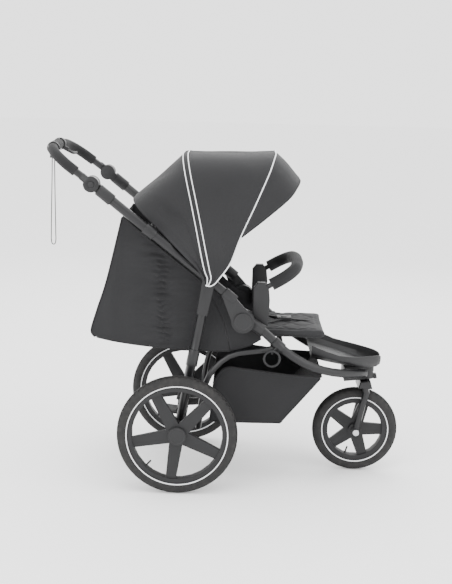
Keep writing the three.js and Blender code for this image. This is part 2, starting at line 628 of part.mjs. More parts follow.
// Backrest board and its pad, lying almost flat, hinged at the back of the seat.
const lie = THREE.MathUtils.degToRad(180 - backrest.slope);
const onBoard = (distance, height) => ({
  x: backrest.hinge.x + distance * Math.cos(lie) + height * Math.sin(lie),
  z: backrest.hinge.z + distance * Math.sin(lie) - height * Math.cos(lie),
});
const boardSlab = (from, to, low, high, halfWidth, bevel) => slab(
  [onBoard(from, low), onBoard(from, high), onBoard(to, high), onBoard(to, low)].map(({ x, z }) => [x, z]),
  -halfWidth, halfWidth, bevel);
add('backrest_board', boardSlab(0, backrest.length, -backrest.board / 2, backrest.board / 2,
  backrest.halfWidth, 1), plastic());
// The pad's lower end slants away from the seat, so that it clears it as the back comes up.
const padUnder = backrest.board / 2 + fit;
const padOver = padUnder + backrest.pad;
add('backrest_pad', slab(
  [onBoard(6, padUnder), onBoard(54, padOver), onBoard(backrest.length - 6, padOver),
    onBoard(backrest.length - 6, padUnder)].map(({ x, z }) => [x, z]),
  -backrest.halfWidth + 4, backrest.halfWidth - 4, 4), fabric());

// ---------------------------------------------------------------------------
// Rear legs, axle and brake
// ---------------------------------------------------------------------------
const legLength = Math.hypot(rearAxle.x - legPivot.x, rearAxle.z - legPivot.z);
const onLeg = (distance, offset = 0) => {
  const along = between(legPivot, rearAxle, distance / legLength);
  return {
    x: along.x + (offset * (legPivot.z - rearAxle.z)) / legLength,
    z: along.z - (offset * (legPivot.x - rearAxle.x)) / legLength,
  };
};
const legEnd = legLength - housing.height / 2 - fit;
const cheekEnd = leg.tubeStart + 34;
for (const [side, hand] of sides) {
  const y = side * legHalf;
  const cheek = join(
    crossRod(legPivot, side * cheekInside, side * cheekOutside, leg.cheekRadius, 20),
    slab([onLeg(0, 3 - leg.cheekRadius), onLeg(0, leg.cheekRadius - 3), onLeg(cheekEnd, leg.radius + 2),
      onLeg(cheekEnd, -leg.radius - 2)].map(({ x, z }) => [x, z]), side * cheekInside, side * cheekOutside));
  const tubePiece = rod(point(onLeg(leg.tubeStart), y), point(onLeg(legEnd), y), leg.radius, 14);
  const casing = rod(
    point(onLeg(leg.tubeStart), y), point(onLeg(leg.tubeStart + 36), y), leg.radius + leg.casing, 14);
  const sleeve = rod(point(onLeg(244), y), point(onLeg(300), y), leg.radius + 4, 14);
  const pinBore = crossRod(
    legPivot, side * (cheekInside - 1), side * (cheekOutside + 1), leg.pinRadius + fit);
  add(`leg_${hand}`, cut(join(cheek, tubePiece, casing, sleeve), pinBore), paintedTube());

  const low = legLength + housing.height / 2 - 8;
  const block = slab([onLeg(legEnd + fit, -housing.length / 2 + 6), onLeg(legEnd + fit, housing.length / 2 - 6),
    onLeg(low, housing.length / 2), onLeg(low, -housing.length / 2)].map(({ x, z }) => [x, z]),
  side * housingInside, side * housingOutside, 4);
  const axleHole = crossRod(
    rearAxle, side * (housingInside - 5), side * (housingOutside + 5), spindleRadius + fit);
  const tubeHole = crossRod(
    rearAxle, side * (housingInside - 5), side * (housingInside + 12), axleRadius + fit, 20);
  add(`brake_housing_${hand}`, cut(block, axleHole, tubeHole), plastic());
}
const spindleEnd = track / 2 + rearHub.outward - 4 - fit;
add('rear_axle', join(
  crossRod(rearAxle, -housingInside - 11, housingInside + 11, axleRadius, 18),
  crossRod(rearAxle, -spindleEnd, spindleEnd, spindleRadius)), paintedTube());

const pedalRing = crossRod(rearAxle, -pedal.width / 4, pedal.width / 4, pedal.collarRadius, 18);
const pedalPlate = slab([
  [rearAxle.x - pedal.collarRadius + 5, rearAxle.z + pedal.thickness / 2],
  [rearAxle.x - pedal.collarRadius - pedal.length, rearAxle.z + 12],
  [rearAxle.x - pedal.collarRadius - pedal.length, rearAxle.z + 12 - pedal.thickness],
  [rearAxle.x - pedal.collarRadius + 5, rearAxle.z - pedal.thickness / 2],
], -pedal.width / 2, pedal.width / 2);
add('brake_pedal', cut(join(pedalRing, pedalPlate),
  crossRod(rearAxle, -pedal.width, pedal.width, axleRadius + fit + 0.2, 18)), plastic());

// ---------------------------------------------------------------------------
// Handle with grip, hand brake, buttons and wrist strap
// ---------------------------------------------------------------------------
const handleStart = 29;
const handleLine = spline([
  [handleStart, 1], [62, 1], [handle.reach * 0.62, 0.955], [handle.reach * 0.88, 0.75],
  [handle.reach * 0.98, 0.42],
  [handle.reach, 0], [handle.reach * 0.98, -0.42], [handle.reach * 0.88, -0.75], [handle.reach * 0.62, -0.955],
  [62, -1], [handleStart, -1],
].map(([distance, across]) => point(polar(handlePivot, 180 - handle.slope, distance), across * frameHalf)));
const handleSteps = 24;
const foamFrom = 2 / handleSteps;
const knuckles = sides.map(([side]) => {
  const y0 = side * (frameHalf + fit / 2);
  const y1 = side * (frameHalf + knuckleHalf);
  const disc = crossRod(handlePivot, y0, y1, handle.knuckle, 20);
  const neck = slab([alongTube(0, 12), alongTube(-handleStart - 12, 12), alongTube(-handleStart - 12, -12),
    alongTube(0, -12)].map(({ x, z }) => [x, z]), y0, side * (frameHalf + 14));
  const pivot = crossRod(handlePivot, side * (frameHalf - 8), side * (frameHalf + 2), 8);
  const recess = crossRod(handlePivot, side * (frameHalf + knuckleHalf - 9), side * (frameHalf + 40),
    handleButton.radius + fit);
  return join(cut(join(disc, neck), recess), pivot);
});
add('handle_tube', join(sweep(handleLine, handle.tubeRadius, handleSteps), ...knuckles), paintedTube());
add('handle_grip', sweep(new Stretch(handleLine, foamFrom, 1 - foamFrom), handle.gripRadius, handleSteps - 4,
  8, handle.tubeRadius + gripBore), foam());
for (const [side, hand] of sides) {
  const face = frameHalf + knuckleHalf;
  add(`handle_button_${hand}`, crossRod(handlePivot, side * (face - 9 + handleButton.travel + 1),
    side * (face + handleButton.proud), handleButton.radius), plastic());
}

// Finds where a curve crosses a given distance from the middle, on its way across.
function lineAt(curve, y) {
  let low = 0.2;
  let high = 0.8;
  const falling = curve.getPointAt(low).y > curve.getPointAt(high).y;
  for (let i = 0; i < 30; i += 1) {
    const middle = (low + high) / 2;
    if ((curve.getPointAt(middle).y > y) === falling) low = middle;
    else high = middle;
  }
  return { place: curve.getPointAt(low), tangent: curve.getTangentAt(low) };
}

// A band round the handle's grip, centred on the grip where it is `y` from the middle.
function gripBand(y, radius, width) {
  const { place, tangent } = lineAt(handleLine, y);
  const half = tangent.clone().multiplyScalar(width / 2);
  const past = tangent.clone().multiplyScalar(width);
  return {
    place,
    tangent,
    band: rod(place.clone().sub(half), place.clone().add(half), radius, 16),
    bore: rod(place.clone().sub(past), place.clone().add(past), handle.gripRadius + fit + 0.9, 16),
  };
}

const brakeBand = gripBand(brake.side, brake.clampRadius, brake.clampWidth);
const leverPivot = brakeBand.place.clone().addScaledVector(
  new THREE.Vector3(Math.cos(tubeSlope), 0, -Math.sin(tubeSlope)), brake.clampRadius + 10);
const lug = slab([[leverPivot.x - 22, leverPivot.z + 19], [leverPivot.x + 7, leverPivot.z + 7],
  [leverPivot.x + 7, leverPivot.z - 9], [leverPivot.x - 15, leverPivot.z + 3]],
leverPivot.y - 12, leverPivot.y - 5);
add('brake_clamp', cut(join(brakeBand.band, lug), brakeBand.bore), plastic());
const leverLine = spline([
  leverPivot.clone().add(new THREE.Vector3(1, 0, -1)),
  leverPivot.clone().add(new THREE.Vector3(13, brake.leverLength * 0.2, -11)),
  leverPivot.clone().add(new THREE.Vector3(19, brake.leverLength * 0.6, -15)),
  leverPivot.clone().add(new THREE.Vector3(20, brake.leverLength, -16)),
]);
add('brake_lever', cut(sweep(leverLine, 5, 7, 8),
  slab([[leverPivot.x - 20, leverPivot.z - 20], [leverPivot.x + 30, leverPivot.z - 20],
    [leverPivot.x + 30, leverPivot.z + 20], [leverPivot.x - 20, leverPivot.z + 20]],
  leverPivot.y - 30, leverPivot.y - 4.5)), plastic());

// The strap's anchor band, and the strap: a loop of cord that hangs from it.
const strapBand = gripBand(strap.side, handle.gripRadius + 4, 16);
const anchorBottom = strapBand.place.z - handle.gripRadius - 16;
const anchorBlock = slab([
  [strapBand.place.x - 11, anchorBottom], [strapBand.place.x + 11, anchorBottom],
  [strapBand.place.x + 9, strapBand.place.z - 12], [strapBand.place.x - 9, strapBand.place.z - 12],
], strapBand.place.y - 6, strapBand.place.y + 6);
add('strap_anchor', cut(join(strapBand.band, anchorBlock), strapBand.bore), plastic());

const strapTop = { x: strapBand.place.x, z: anchorBottom - fit };
const strapLine = spline([
  [-4, 0], [-4.4, -40], [-5.5, -110], [-7, -190], [-7.6, -250], [-strap.spread, 12 - strap.drop],
  [-strap.spread * 0.72, 5.2 - strap.drop], [0, 1.6 - strap.drop], [strap.spread * 0.72, 5.2 - strap.drop],
  [strap.spread, 12 - strap.drop], [7.2, -250], [6.2, -190], [5, -110], [4.2, -40], [4, 0],
].map(([x, z]) => new THREE.Vector3(strapTop.x + x, strapBand.place.y, strapTop.z + z)));
add('wrist_strap', sweep(strapLine, strap.radius, 62, 8), fabric());

// ---------------------------------------------------------------------------
// Canopy
// ---------------------------------------------------------------------------
const plateIn = cheekOutside + fit;
const plateOut = plateIn + canopyHub.plate;
const midEyelet = plateOut + fit;
const frontEyelet = midEyelet + eyelet.thickness + fit;
const capIn = frontEyelet + eyelet.thickness + fit;
for (const [side, hand] of sides) {
  add(`canopy_hub_${hand}`, join(
    crossRod(canopyPivot, side * plateIn, side * plateOut, canopyHub.radius, 20),
    crossRod(canopyPivot, side * (frameHalf - 8), side * (capIn + 3), leg.pinRadius),
    crossRod(canopyPivot, side * capIn, side * (capIn + 3), canopyHub.capRadius)), plastic());
}

// A hoop seen square on: distance from the pivot and distance from the middle, from one side to the top.
function hoopHalf(radius, foot, outward, first = 9) {
  return [
    [first, foot], [55, foot - 1], [90, foot - 8], [visor.start, foot - 38],
    [radius * 0.62, 216], [radius - 62, 202], [radius - 18, 158], [radius - 2, 88], [radius, 0],
  ].map(([r, y], i) => [i > 6 ? r + outward : r + outward * 0.6, i < 8 ? y + outward : y]);
}
const hoop = (angle, half) => {
  const angleAt = (r) => (typeof angle === 'function' ? angle(r) : angle);
  const place = ([r, y], side) => point(polar(canopyPivot, angleAt(r), r), side * y);
  return [...half.map((p) => place(p, -1)), ...half.slice(0, -1).reverse().map((p) => place(p, 1))];
};
const bow = ({ angle, radius }, face) => {
  const middle = face + eyelet.thickness / 2;
  const curve = spline(hoop(angle, hoopHalf(radius, middle, 0)));
  const ends = sides.map(([side]) =>
    crossRod(canopyPivot, side * face, side * (face + eyelet.thickness), eyelet.radius));
  const bores = sides.map(([side]) =>
    crossRod(canopyPivot, side * (face - 3), side * (face + eyelet.thickness + 3), leg.pinRadius + fit));
  return cut(join(sweep(curve, bowRadius, 30, 8), ...ends), ...bores);
};
add('canopy_bow_mid', bow(midBow, midEyelet), paintedTube());
add('canopy_bow_front', bow(frontBow, frontEyelet), paintedTube());

// A panel of the hood, pulled straight between two edges outside the bows. Each edge is an angle and a
// radius, and the panel starts where the edges are `start` from the pivot.
const bowMiddle = (midEyelet + frontEyelet + eyelet.thickness) / 2;
const clothIn = bowRadius + 4.5;
const clothFoot = bowMiddle + 1;
function hoodPanel(rowCount, from, to, start = hoodStart) {
  const layer = (outward) => {
    const [first, last] = [from, to].map(({ angle, radius }) =>
      hoop(angle, hoopHalf(radius, clothFoot, outward, hoodStart).filter(([r]) => r >= start)));
    return Array.from({ length: rowCount }, (_, row) =>
      first.map((place, i) => place.clone().lerp(last[i], row / (rowCount - 1))));
  };
  return thickSheet(layer(clothIn + cloth), layer(clothIn));
}
const panelGap = 0.4; // degrees left between neighbouring panels
const nudged = ({ angle, radius }, degrees) => ({
  angle: typeof angle === 'function' ? (r) => angle(r) + degrees : angle + degrees, radius,
});
add('canopy_rear', hoodPanel(3, rearEdge, nudged(midBow, panelGap)), fabric());
add('canopy_middle', hoodPanel(4, midBow, nudged(frontBow, panelGap)), fabric());
const visorTurn = tabled([[visor.start, 1.5], [230, 8], [283, 12.4], [339, 14.8], [frontBow.radius, 15.6]]);
add('canopy_visor', hoodPanel(3, frontBow, {
  angle: (r) => frontBow.angle(r) - visorTurn(r), radius: frontBow.radius - visor.shorten,
}, visor.start), fabric());

export default stroller;
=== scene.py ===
# %% [markdown]
# # A three-wheeled baby stroller
# The metal frame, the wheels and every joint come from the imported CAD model. This lesson gives them
# smooth finished surfaces, and makes the soft goods: the canopy, the seat, the back, the basket, the
# foam grips, the harness and the wrist strap. Everything is in metres, +X forwards, +Z up.

# %% Load the frame
import json
import math

import bmesh
import bpy
from mathutils import Matrix, Vector, noise


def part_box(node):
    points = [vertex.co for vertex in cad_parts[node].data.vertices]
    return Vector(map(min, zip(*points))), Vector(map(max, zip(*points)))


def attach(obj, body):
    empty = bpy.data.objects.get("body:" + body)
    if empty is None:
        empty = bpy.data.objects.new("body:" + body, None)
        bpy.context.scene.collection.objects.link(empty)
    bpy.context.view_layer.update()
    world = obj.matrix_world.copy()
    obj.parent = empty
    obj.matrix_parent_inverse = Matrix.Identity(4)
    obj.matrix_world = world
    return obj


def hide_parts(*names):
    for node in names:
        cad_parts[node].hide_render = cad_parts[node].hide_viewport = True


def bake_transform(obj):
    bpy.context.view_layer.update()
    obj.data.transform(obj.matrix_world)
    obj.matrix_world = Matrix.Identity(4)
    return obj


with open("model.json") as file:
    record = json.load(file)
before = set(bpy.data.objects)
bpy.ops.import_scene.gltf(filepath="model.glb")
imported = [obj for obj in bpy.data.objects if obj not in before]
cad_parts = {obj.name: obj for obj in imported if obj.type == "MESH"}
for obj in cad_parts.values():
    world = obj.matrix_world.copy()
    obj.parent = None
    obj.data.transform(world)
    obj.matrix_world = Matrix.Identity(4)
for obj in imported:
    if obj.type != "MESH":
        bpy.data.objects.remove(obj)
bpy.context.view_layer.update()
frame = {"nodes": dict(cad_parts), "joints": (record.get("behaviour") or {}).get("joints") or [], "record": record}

joints = {joint["name"]: joint for joint in frame["joints"]}
SIDES = {"right": -1, "left": 1}

# %% [markdown]
# ## Small helpers
# An operator acts on whatever is selected, so one helper always selects exactly one piece. Another
# bakes a modifier into the mesh. The last ones shade a piece smooth and find a joint's pivot or a part's middle.

# %% Helpers for selecting, modifying and finishing
def only(piece):
    bpy.ops.object.select_all(action="DESELECT")
    piece.select_set(True)
    bpy.context.view_layer.objects.active = piece


def settle(piece):
    only(piece)
    bpy.ops.object.transform_apply(location=True, rotation=True, scale=True)


def modify(piece, kind, **settings):
    only(piece)
    modifier = piece.modifiers.new(kind.title(), kind)
    for key, value in settings.items():
        setattr(modifier, key, value)
    bpy.ops.object.modifier_apply(modifier=modifier.name)


def smooth(piece, degrees=40):
    only(piece)
    bpy.ops.object.shade_smooth_by_angle(angle=math.radians(degrees))


def pivot(name):
    return Vector(joints[name]["pos_m"])


def middle(node):
    low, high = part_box(node)
    return (low + high) / 2


# %% [markdown]
# ## Camera
# The camera stands a little above the handle, four metres to the child's right, and looks slightly
# down at the middle of the stroller. The lens is a long one, so the three wheels keep their true
# proportions. It is made first, because the wrist strap is checked against what it sees.

# %% Place the camera
pitch = 0.1849
yaw = -0.0088
roll = 0.025
focal_pixels = 1162.3
tall_pixels = 584

forward = Vector((math.sin(yaw) * math.cos(pitch), math.cos(yaw) * math.cos(pitch), -math.sin(pitch)))
level = Vector((math.cos(yaw), -math.sin(yaw), 0))
above = level.cross(forward)
right_hand = level * math.cos(roll) + above * math.sin(roll)
upward = above * math.cos(roll) - level * math.sin(roll)

bpy.ops.object.camera_add(location=(0.030, -3.9742, 1.3716))
camera = bpy.context.object
camera.rotation_euler = Matrix((right_hand, upward, -forward)).transposed().to_euler()
camera.data.sensor_width = 36
camera.data.lens = focal_pixels * camera.data.sensor_width / tall_pixels
bpy.context.scene.camera = camera

# %% [markdown]
# ## Finishes
# Every finish is a node material. Shader maths reads as ordinary Python here: a Socket stands for the
# output of a node, and adding or multiplying two Sockets adds the Math node that does it. A Finish
# holds the material and has one method that makes any other node.

# %% Sockets and finishes
class Socket:
    def __init__(self, finish, link):
        self.finish = finish
        self.link = link

    def maths(self, operation, *values):
        return self.finish.node("ShaderNodeMath", {"operation": operation}, dict(enumerate(values)))

    def __add__(self, other):
        return self.maths("ADD", self, other)

    def __sub__(self, other):
        return self.maths("SUBTRACT", self, other)

    def __mul__(self, other):
        return self.maths("MULTIPLY", self, other)

    def __rsub__(self, other):
        return self.maths("SUBTRACT", other, self)

    def __gt__(self, other):
        return self.maths("GREATER_THAN", self, other)

    __radd__ = __add__
    __rmul__ = __mul__

    def sine(self):
        return self.maths("SINE", self)

    def power(self, exponent):
        return self.maths("POWER", self, exponent)

    def size(self):
        return self.maths("ABSOLUTE", self)


class Finish:
    def __init__(self, name, roughness=0.5, **fixed):
        self.material = bpy.data.materials.new(name)
        self.material.use_nodes = True
        self.tree = self.material.node_tree
        self.shader = self.tree.nodes["Principled BSDF"]
        self.shader.inputs["Roughness"].default_value = roughness
        for key, value in fixed.items():
            self.shader.inputs[key.replace("_", " ")].default_value = value
        coordinates = self.tree.nodes.new("ShaderNodeTexCoord")
        self.place = Socket(self, coordinates.outputs["Object"])
        self.cloth = Socket(self, coordinates.outputs["UV"])

    def feed(self, socket, value):
        if isinstance(value, Socket):
            self.tree.links.new(value.link, socket)
        else:
            socket.default_value = value

    def node(self, kind, settings=None, values=None, output=0):
        made = self.tree.nodes.new(kind)
        for key, value in (settings or {}).items():
            if key == "stops":
                ramp = made.color_ramp
                for index, (place, colour) in enumerate(value):
                    stop = ramp.elements[index] if index < 2 else ramp.elements.new(place)
                    stop.position = place
                    stop.color = (*colour, 1)
            else:
                setattr(made, key, value)
        for key, value in (values or {}).items():
            self.feed(made.inputs[key], value)
        return Socket(self, made.outputs[output])

    def set(self, **inputs):
        for key, value in inputs.items():
            self.feed(self.shader.inputs[key.replace("_", " ")], value)

    def noise(self, scale, detail=3, where=None):
        return self.node("ShaderNodeTexNoise", {},
                         {"Vector": where or self.place, "Scale": scale, "Detail": detail})

    def colours(self, factor, first, second):
        return self.node("ShaderNodeMix", {"data_type": "RGBA"},
                         {"Factor": factor, 6: (*first, 1), 7: (*second, 1)}, output=2)

    def relief(self, height, strength, depth):
        bump = self.node("ShaderNodeBump", {}, {"Height": height, "Strength": strength, "Distance": depth})
        self.set(Normal=bump)


# %% [markdown]
# ### Hard finishes
# Powder coat has a faint orange-peel skin. Moulded plastic is grainier and duller, the rims are the
# same plastic with a slightly cooler tone, and foam grips are full of tiny pores. Tyre rubber picks up
# a little pale dust in random patches.

# %% Make the hard finishes
def powder_coat():
    finish = Finish("satin_black_powder_coat", Coat_Weight=0.12, Coat_Roughness=0.25, Specular_IOR_Level=0.35)
    skin = finish.noise(900, 2)
    patches = finish.noise(14, 4)
    finish.set(Base_Color=finish.colours(patches, (0.004, 0.004, 0.0045), (0.009, 0.009, 0.010)),
               Roughness=patches * 0.16 + 0.30, Metallic=0.2)
    finish.relief(skin, 0.25, 0.0002)
    return finish.material


def moulded_plastic(name, dark, light, rough, grain):
    finish = Finish(name, Specular_IOR_Level=0.35)
    pits = finish.node("ShaderNodeTexVoronoi", {}, {"Vector": finish.place, "Scale": grain})
    patches = finish.noise(22, 5)
    finish.set(Base_Color=finish.colours(patches, dark, light), Roughness=patches * 0.14 + rough)
    finish.relief(pits, 0.3, 0.0003)
    return finish.material


def tyre_rubber():
    finish = Finish("tyre_rubber", Specular_IOR_Level=0.3)
    dust = finish.noise(60, 6).power(2.2)
    fine = finish.noise(1400, 2)
    finish.set(Base_Color=finish.colours(dust, (0.006, 0.006, 0.0065), (0.038, 0.036, 0.034)),
               Roughness=dust * 0.2 + 0.68)
    finish.relief(fine, 0.35, 0.0004)
    return finish.material


def grip_foam():
    finish = Finish("closed_cell_foam", Sheen_Weight=0.05, Specular_IOR_Level=0.25)
    pores = finish.node("ShaderNodeTexVoronoi", {"feature": "SMOOTH_F1"},
                        {"Vector": finish.place, "Scale": 700})
    patches = finish.noise(40, 4)
    finish.set(Base_Color=finish.colours(patches, (0.007, 0.007, 0.0075), (0.014, 0.014, 0.015)),
               Roughness=patches * 0.1 + 0.82)
    finish.relief(pores, 0.6, 0.0006)
    return finish.material


def bright_zinc():
    finish = Finish("zinc_plate", 0.32)
    haze = finish.noise(130, 4)
    finish.set(Base_Color=finish.colours(haze, (0.42, 0.43, 0.45), (0.62, 0.62, 0.63)),
               Roughness=haze * 0.2 + 0.25, Metallic=1.0)
    return finish.material


def reflective_trim():
    finish = Finish("reflective_trim", 0.35)
    beads = finish.node("ShaderNodeTexVoronoi", {}, {"Vector": finish.place, "Scale": 900})
    haze = finish.noise(35, 3)
    finish.set(Base_Color=finish.colours(haze, (0.62, 0.63, 0.64), (0.80, 0.81, 0.82)),
               Roughness=haze * 0.15 + 0.3)
    finish.relief(beads, 0.2, 0.0002)
    return finish.material


# %% [markdown]
# ### Cloth finishes
# Woven polyester is two sets of yarns at right angles. Their crossing is a product of two sine waves
# along the cloth's own UV map, which is in metres, so the weave has the same scale on every panel.
# Yarns differ a little in shade, which gives the charcoal its heathered look. A row of stitches runs
# six millimetres inside each hem: it follows the "hem" attribute, the distance to the nearest edge,
# which the panels get when they are cut.

# %% Make the cloth finishes
def woven(name, dark, light, yarns, depth, rough=0.85, sheen=0.06, mapped=True):
    finish = Finish(name, rough, Sheen_Weight=sheen, Sheen_Roughness=0.5, Specular_IOR_Level=0.25)
    where = finish.cloth if mapped else finish.place
    across = finish.node("ShaderNodeSeparateXYZ", {}, {0: where}, output=0)
    along = finish.node("ShaderNodeSeparateXYZ", {}, {0: where}, output=1 if mapped else 2)
    warp = (across * (math.tau * yarns)).sine()
    weft = (along * (math.tau * yarns)).sine()
    crossing = warp * weft * 0.5 + 0.5
    heather = finish.noise(260, 3, where)
    fading = finish.noise(7, 4)
    hem = finish.node("ShaderNodeAttribute", {"attribute_name": "hem"}, output=2)
    near = 1 - (hem - 0.006).size() * 800
    row = near.maths("MAXIMUM", near, 0)
    stitches = row * (((across + along) * (math.tau * 260)).sine() > -0.4)
    shade = heather * 0.65 + crossing * 0.2 + fading * 0.3 - 0.1 + stitches * 0.7
    finish.set(Base_Color=finish.colours(shade, dark, light), Roughness=heather * 0.12 + rough - 0.06)
    finish.relief(crossing + heather * 0.6 - row * 1.5 + stitches * 1.2, 0.55, depth)
    return finish.material


FINISHES = {
    "frame_paint": powder_coat(),
    "black_plastic": moulded_plastic("grained_black_plastic", (0.005, 0.005, 0.0055), (0.011, 0.011, 0.012),
                                     0.46, 1300),
    "rim_plastic": moulded_plastic("rim_plastic", (0.0055, 0.0055, 0.006), (0.011, 0.011, 0.012), 0.55, 900),
    "tyre_rubber": tyre_rubber(),
    "grip_foam": grip_foam(),
    "plated_steel": bright_zinc(),
    "reflective_trim": reflective_trim(),
    "canopy_cloth": woven("canopy_cloth", (0.005, 0.005, 0.0055), (0.024, 0.024, 0.0255), 700, 0.0003),
    "seat_cloth": woven("seat_cloth", (0.006, 0.006, 0.0065), (0.026, 0.026, 0.028), 600, 0.0003, mapped=False),
    "basket_cloth": woven("basket_cloth", (0.005, 0.005, 0.0055), (0.020, 0.020, 0.0215), 320, 0.0006),
    "strap_webbing": woven("strap_webbing", (0.005, 0.005, 0.0055), (0.015, 0.015, 0.016), 450, 0.0005,
                           mapped=False),
}


def dress(piece, slot, body=None):
    piece.data.materials.clear()
    piece.data.materials.append(FINISHES[slot])
    if body:
        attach(piece, body)
    return piece


print(len(FINISHES), "finishes")

# %% [markdown]
# ## Wrist strap
# The strap is a loop of thin cord that hangs from its anchor band on the grip. Its route goes straight
# down, turns in a small bend at the bottom and comes back into the same anchor. The points are the ones
# that its CAD solid follows.

# %% Hang the wrist strap
strap_cad_low, strap_cad_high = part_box("wrist_strap")
strap_top = Vector(((strap_cad_low.x + strap_cad_high.x) / 2 + 0.0002, middle("wrist_strap").y,
                    strap_cad_high.z))
STRAP_DIAMETER = 0.0032
strap_offsets = [(-4, 0), (-4.4, -40), (-5.5, -110), (-7, -190), (-7.6, -250), (-7, -278), (-5.04, -284.8), (0, -288.4),
                 (5.04, -284.8), (7, -278), (7.2, -250), (6.2, -190), (5, -110), (4.2, -40), (4, 0)]
strap_points = [strap_top + Vector((x, 0, z)) / 1000 for x, z in strap_offsets]


def curve_through(name, points, radius, resolution=12, sides=6):
    curve = bpy.data.curves.new(name, "CURVE")
    curve.dimensions = "3D"
    curve.resolution_u = resolution
    curve.bevel_depth = radius
    curve.bevel_resolution = sides
    curve.use_fill_caps = True
    spline = curve.splines.new("BEZIER")
    spline.bezier_points.add(len(points) - 1)
    for knot, place in zip(spline.bezier_points, points):
        knot.co = place
        knot.handle_left_type = "AUTO"
        knot.handle_right_type = "AUTO"
    piece = bpy.data.objects.new(name, curve)
    bpy.context.scene.collection.objects.link(piece)
    return piece


wrist_strap = curve_through("wrist_strap_cord", strap_points, STRAP_DIAMETER / 2, sides=4)
wrist_strap.data.materials.append(FINISHES["strap_webbing"])
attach(wrist_strap, "handle")
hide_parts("wrist_strap")
strap_length = sum((b - a).length for a, b in zip(strap_points, strap_points[1:]))
print("wrist strap", round(strap_length, 4), "m")

# %% [markdown]
# ## Studio
# A pale seamless floor and soft light from above, in front and behind. The big overhead panel gives the
# soft shadow under the wheels, and the low front one opens up the dark frame.

# %% Light the studio
bpy.ops.mesh.primitive_plane_add(size=60)
floor = bpy.context.object
floor.name = "studio_floor"
floor_finish = Finish("studio_floor", 0.9)
floor_finish.set(Base_Color=(0.96, 0.96, 0.96, 1))
floor.data.materials.append(floor_finish.material)

world = bpy.context.scene.world or bpy.data.worlds.new("studio")
bpy.context.scene.world = world
world.use_nodes = True
world.node_tree.nodes["Background"].inputs["Color"].default_value = (1, 1, 1, 1)
world.node_tree.nodes["Background"].inputs["Strength"].default_value = 2.4


def soft_light(name, place, target, size, power):
    bpy.ops.object.light_add(type="AREA", location=place)
    light = bpy.context.object
    light.name = name
    light.data.size = size
    light.data.energy = power
    light.rotation_euler = (Vector(target) - Vector(place)).to_track_quat("-Z", "Y").to_euler()
    return light


soft_light("overhead", (-0.4, -0.5, 4.2), (0, 0, 0.4), 3.2, 95)
soft_light("front_panel", (-2.6, -3.4, 2.2), (0, 0, 0.5), 2.2, 70)
soft_light("side_panel", (3.2, -1.8, 1.6), (0, 0, 0.5), 1.8, 40)
soft_light("rim_panel", (0.5, 3.4, 2.6), (0, 0, 0.7), 2.0, 45)

# %% [markdown]
# ## Hard parts
# A CAD node is a faceted solid made of loose triangles. For each hard part a copy is merged, its flat
# faces are rejoined, its sharp edges get a small rounded bevel, and it is shaded smooth. That keeps
# the exact size and gives the edge highlights that moulded and turned parts have.

# %% Finish the hard parts
def refined(node, slot, body, width=0.0009, segments=2, degrees=38):
    source = frame["nodes"][node]
    piece = bpy.data.objects.new(node + "_finished", source.data.copy())
    bpy.context.scene.collection.objects.link(piece)
    only(piece)
    bpy.ops.object.mode_set(mode="EDIT")
    bpy.ops.mesh.select_all(action="SELECT")
    bpy.ops.mesh.remove_doubles(threshold=1e-6)
    bpy.ops.mesh.dissolve_limited(angle_limit=math.radians(1))
    bpy.ops.object.mode_set(mode="OBJECT")
    if width:
        modify(piece, "BEVEL", width=width, segments=segments, limit_method="ANGLE",
               angle_limit=math.radians(degrees), harden_normals=False)
    smooth(piece, degrees)
    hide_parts(node)
    dress(piece, slot, body)
    return piece


node_slots = {row["node"]: row["material_slot"] for row in frame["record"]["subparts"]}
node_bodies = {node: body for body, nodes in frame["record"]["behaviour"]["bodies"].items() for node in nodes}
MADE_BELOW = {
    "front_tyre", "rear_tyre_right", "rear_tyre_left", "handle_grip", "bumper_grip", "wrist_strap",
    "canopy_rear", "canopy_middle", "canopy_visor", "back_fabric", "seat_pad", "backrest_pad", "basket",
}
for node in sorted(set(node_slots) - MADE_BELOW):
    refined(node, node_slots[node], node_bodies[node])
print(len(node_slots) - len(MADE_BELOW), "hard parts finished")

# %% [markdown]
# ## Tyres
# A tyre is a torus whose inside is flattened where its beads sit in the rim. Rows of tread faces are
# inset and pushed in, which leaves raised blocks with grooves between them. A thin silver ring is
# moulded into each wall just outside the rim.

# %% Mould the tyres
def tyre(node, rim_edge, blocks):
    low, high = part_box(node)
    centre = (low + high) / 2
    radius = (high.z - low.z) / 2
    half_width = (high.y - low.y) / 2
    bpy.ops.object.select_all(action="DESELECT")
    bpy.ops.mesh.primitive_torus_add(
        major_radius=radius - half_width, minor_radius=half_width, major_segments=blocks * 2, minor_segments=28,
        location=centre, rotation=(math.pi / 2, 0, 0))
    piece = bpy.context.object
    piece.name = node + "_moulded"
    settle(piece)
    for vertex in piece.data.vertices:
        spoke = vertex.co - centre
        across = spoke.y
        spoke.y = 0
        reach = max(spoke.length, rim_edge)
        vertex.co = centre + spoke.normalized() * reach + Vector((0, across, 0))
    only(piece)
    bpy.ops.object.mode_set(mode="EDIT")
    bpy.ops.mesh.select_all(action="DESELECT")
    mesh = bmesh.from_edit_mesh(piece.data)
    for face in mesh.faces:
        spoke = face.calc_center_median() - centre
        across = spoke.y / half_width
        spoke.y = 0
        outward = face.normal.dot(spoke.normalized())
        turn = math.atan2(spoke.z, spoke.x) / math.tau * blocks + abs(across) * 0.7
        centre_rib = abs(across) < 0.16
        face.select = outward > 0.62 and not centre_rib and (turn % 1) < 0.5
    bmesh.update_edit_mesh(piece.data)
    bpy.ops.mesh.inset(thickness=0.0006)
    bpy.ops.mesh.extrude_region_shrink_fatten(TRANSFORM_OT_shrink_fatten={"value": -0.0018})
    bpy.ops.object.mode_set(mode="OBJECT")
    smooth(piece, 35)
    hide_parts(node)
    dress(piece, "tyre_rubber", node_bodies[node])
    return centre, radius, half_width


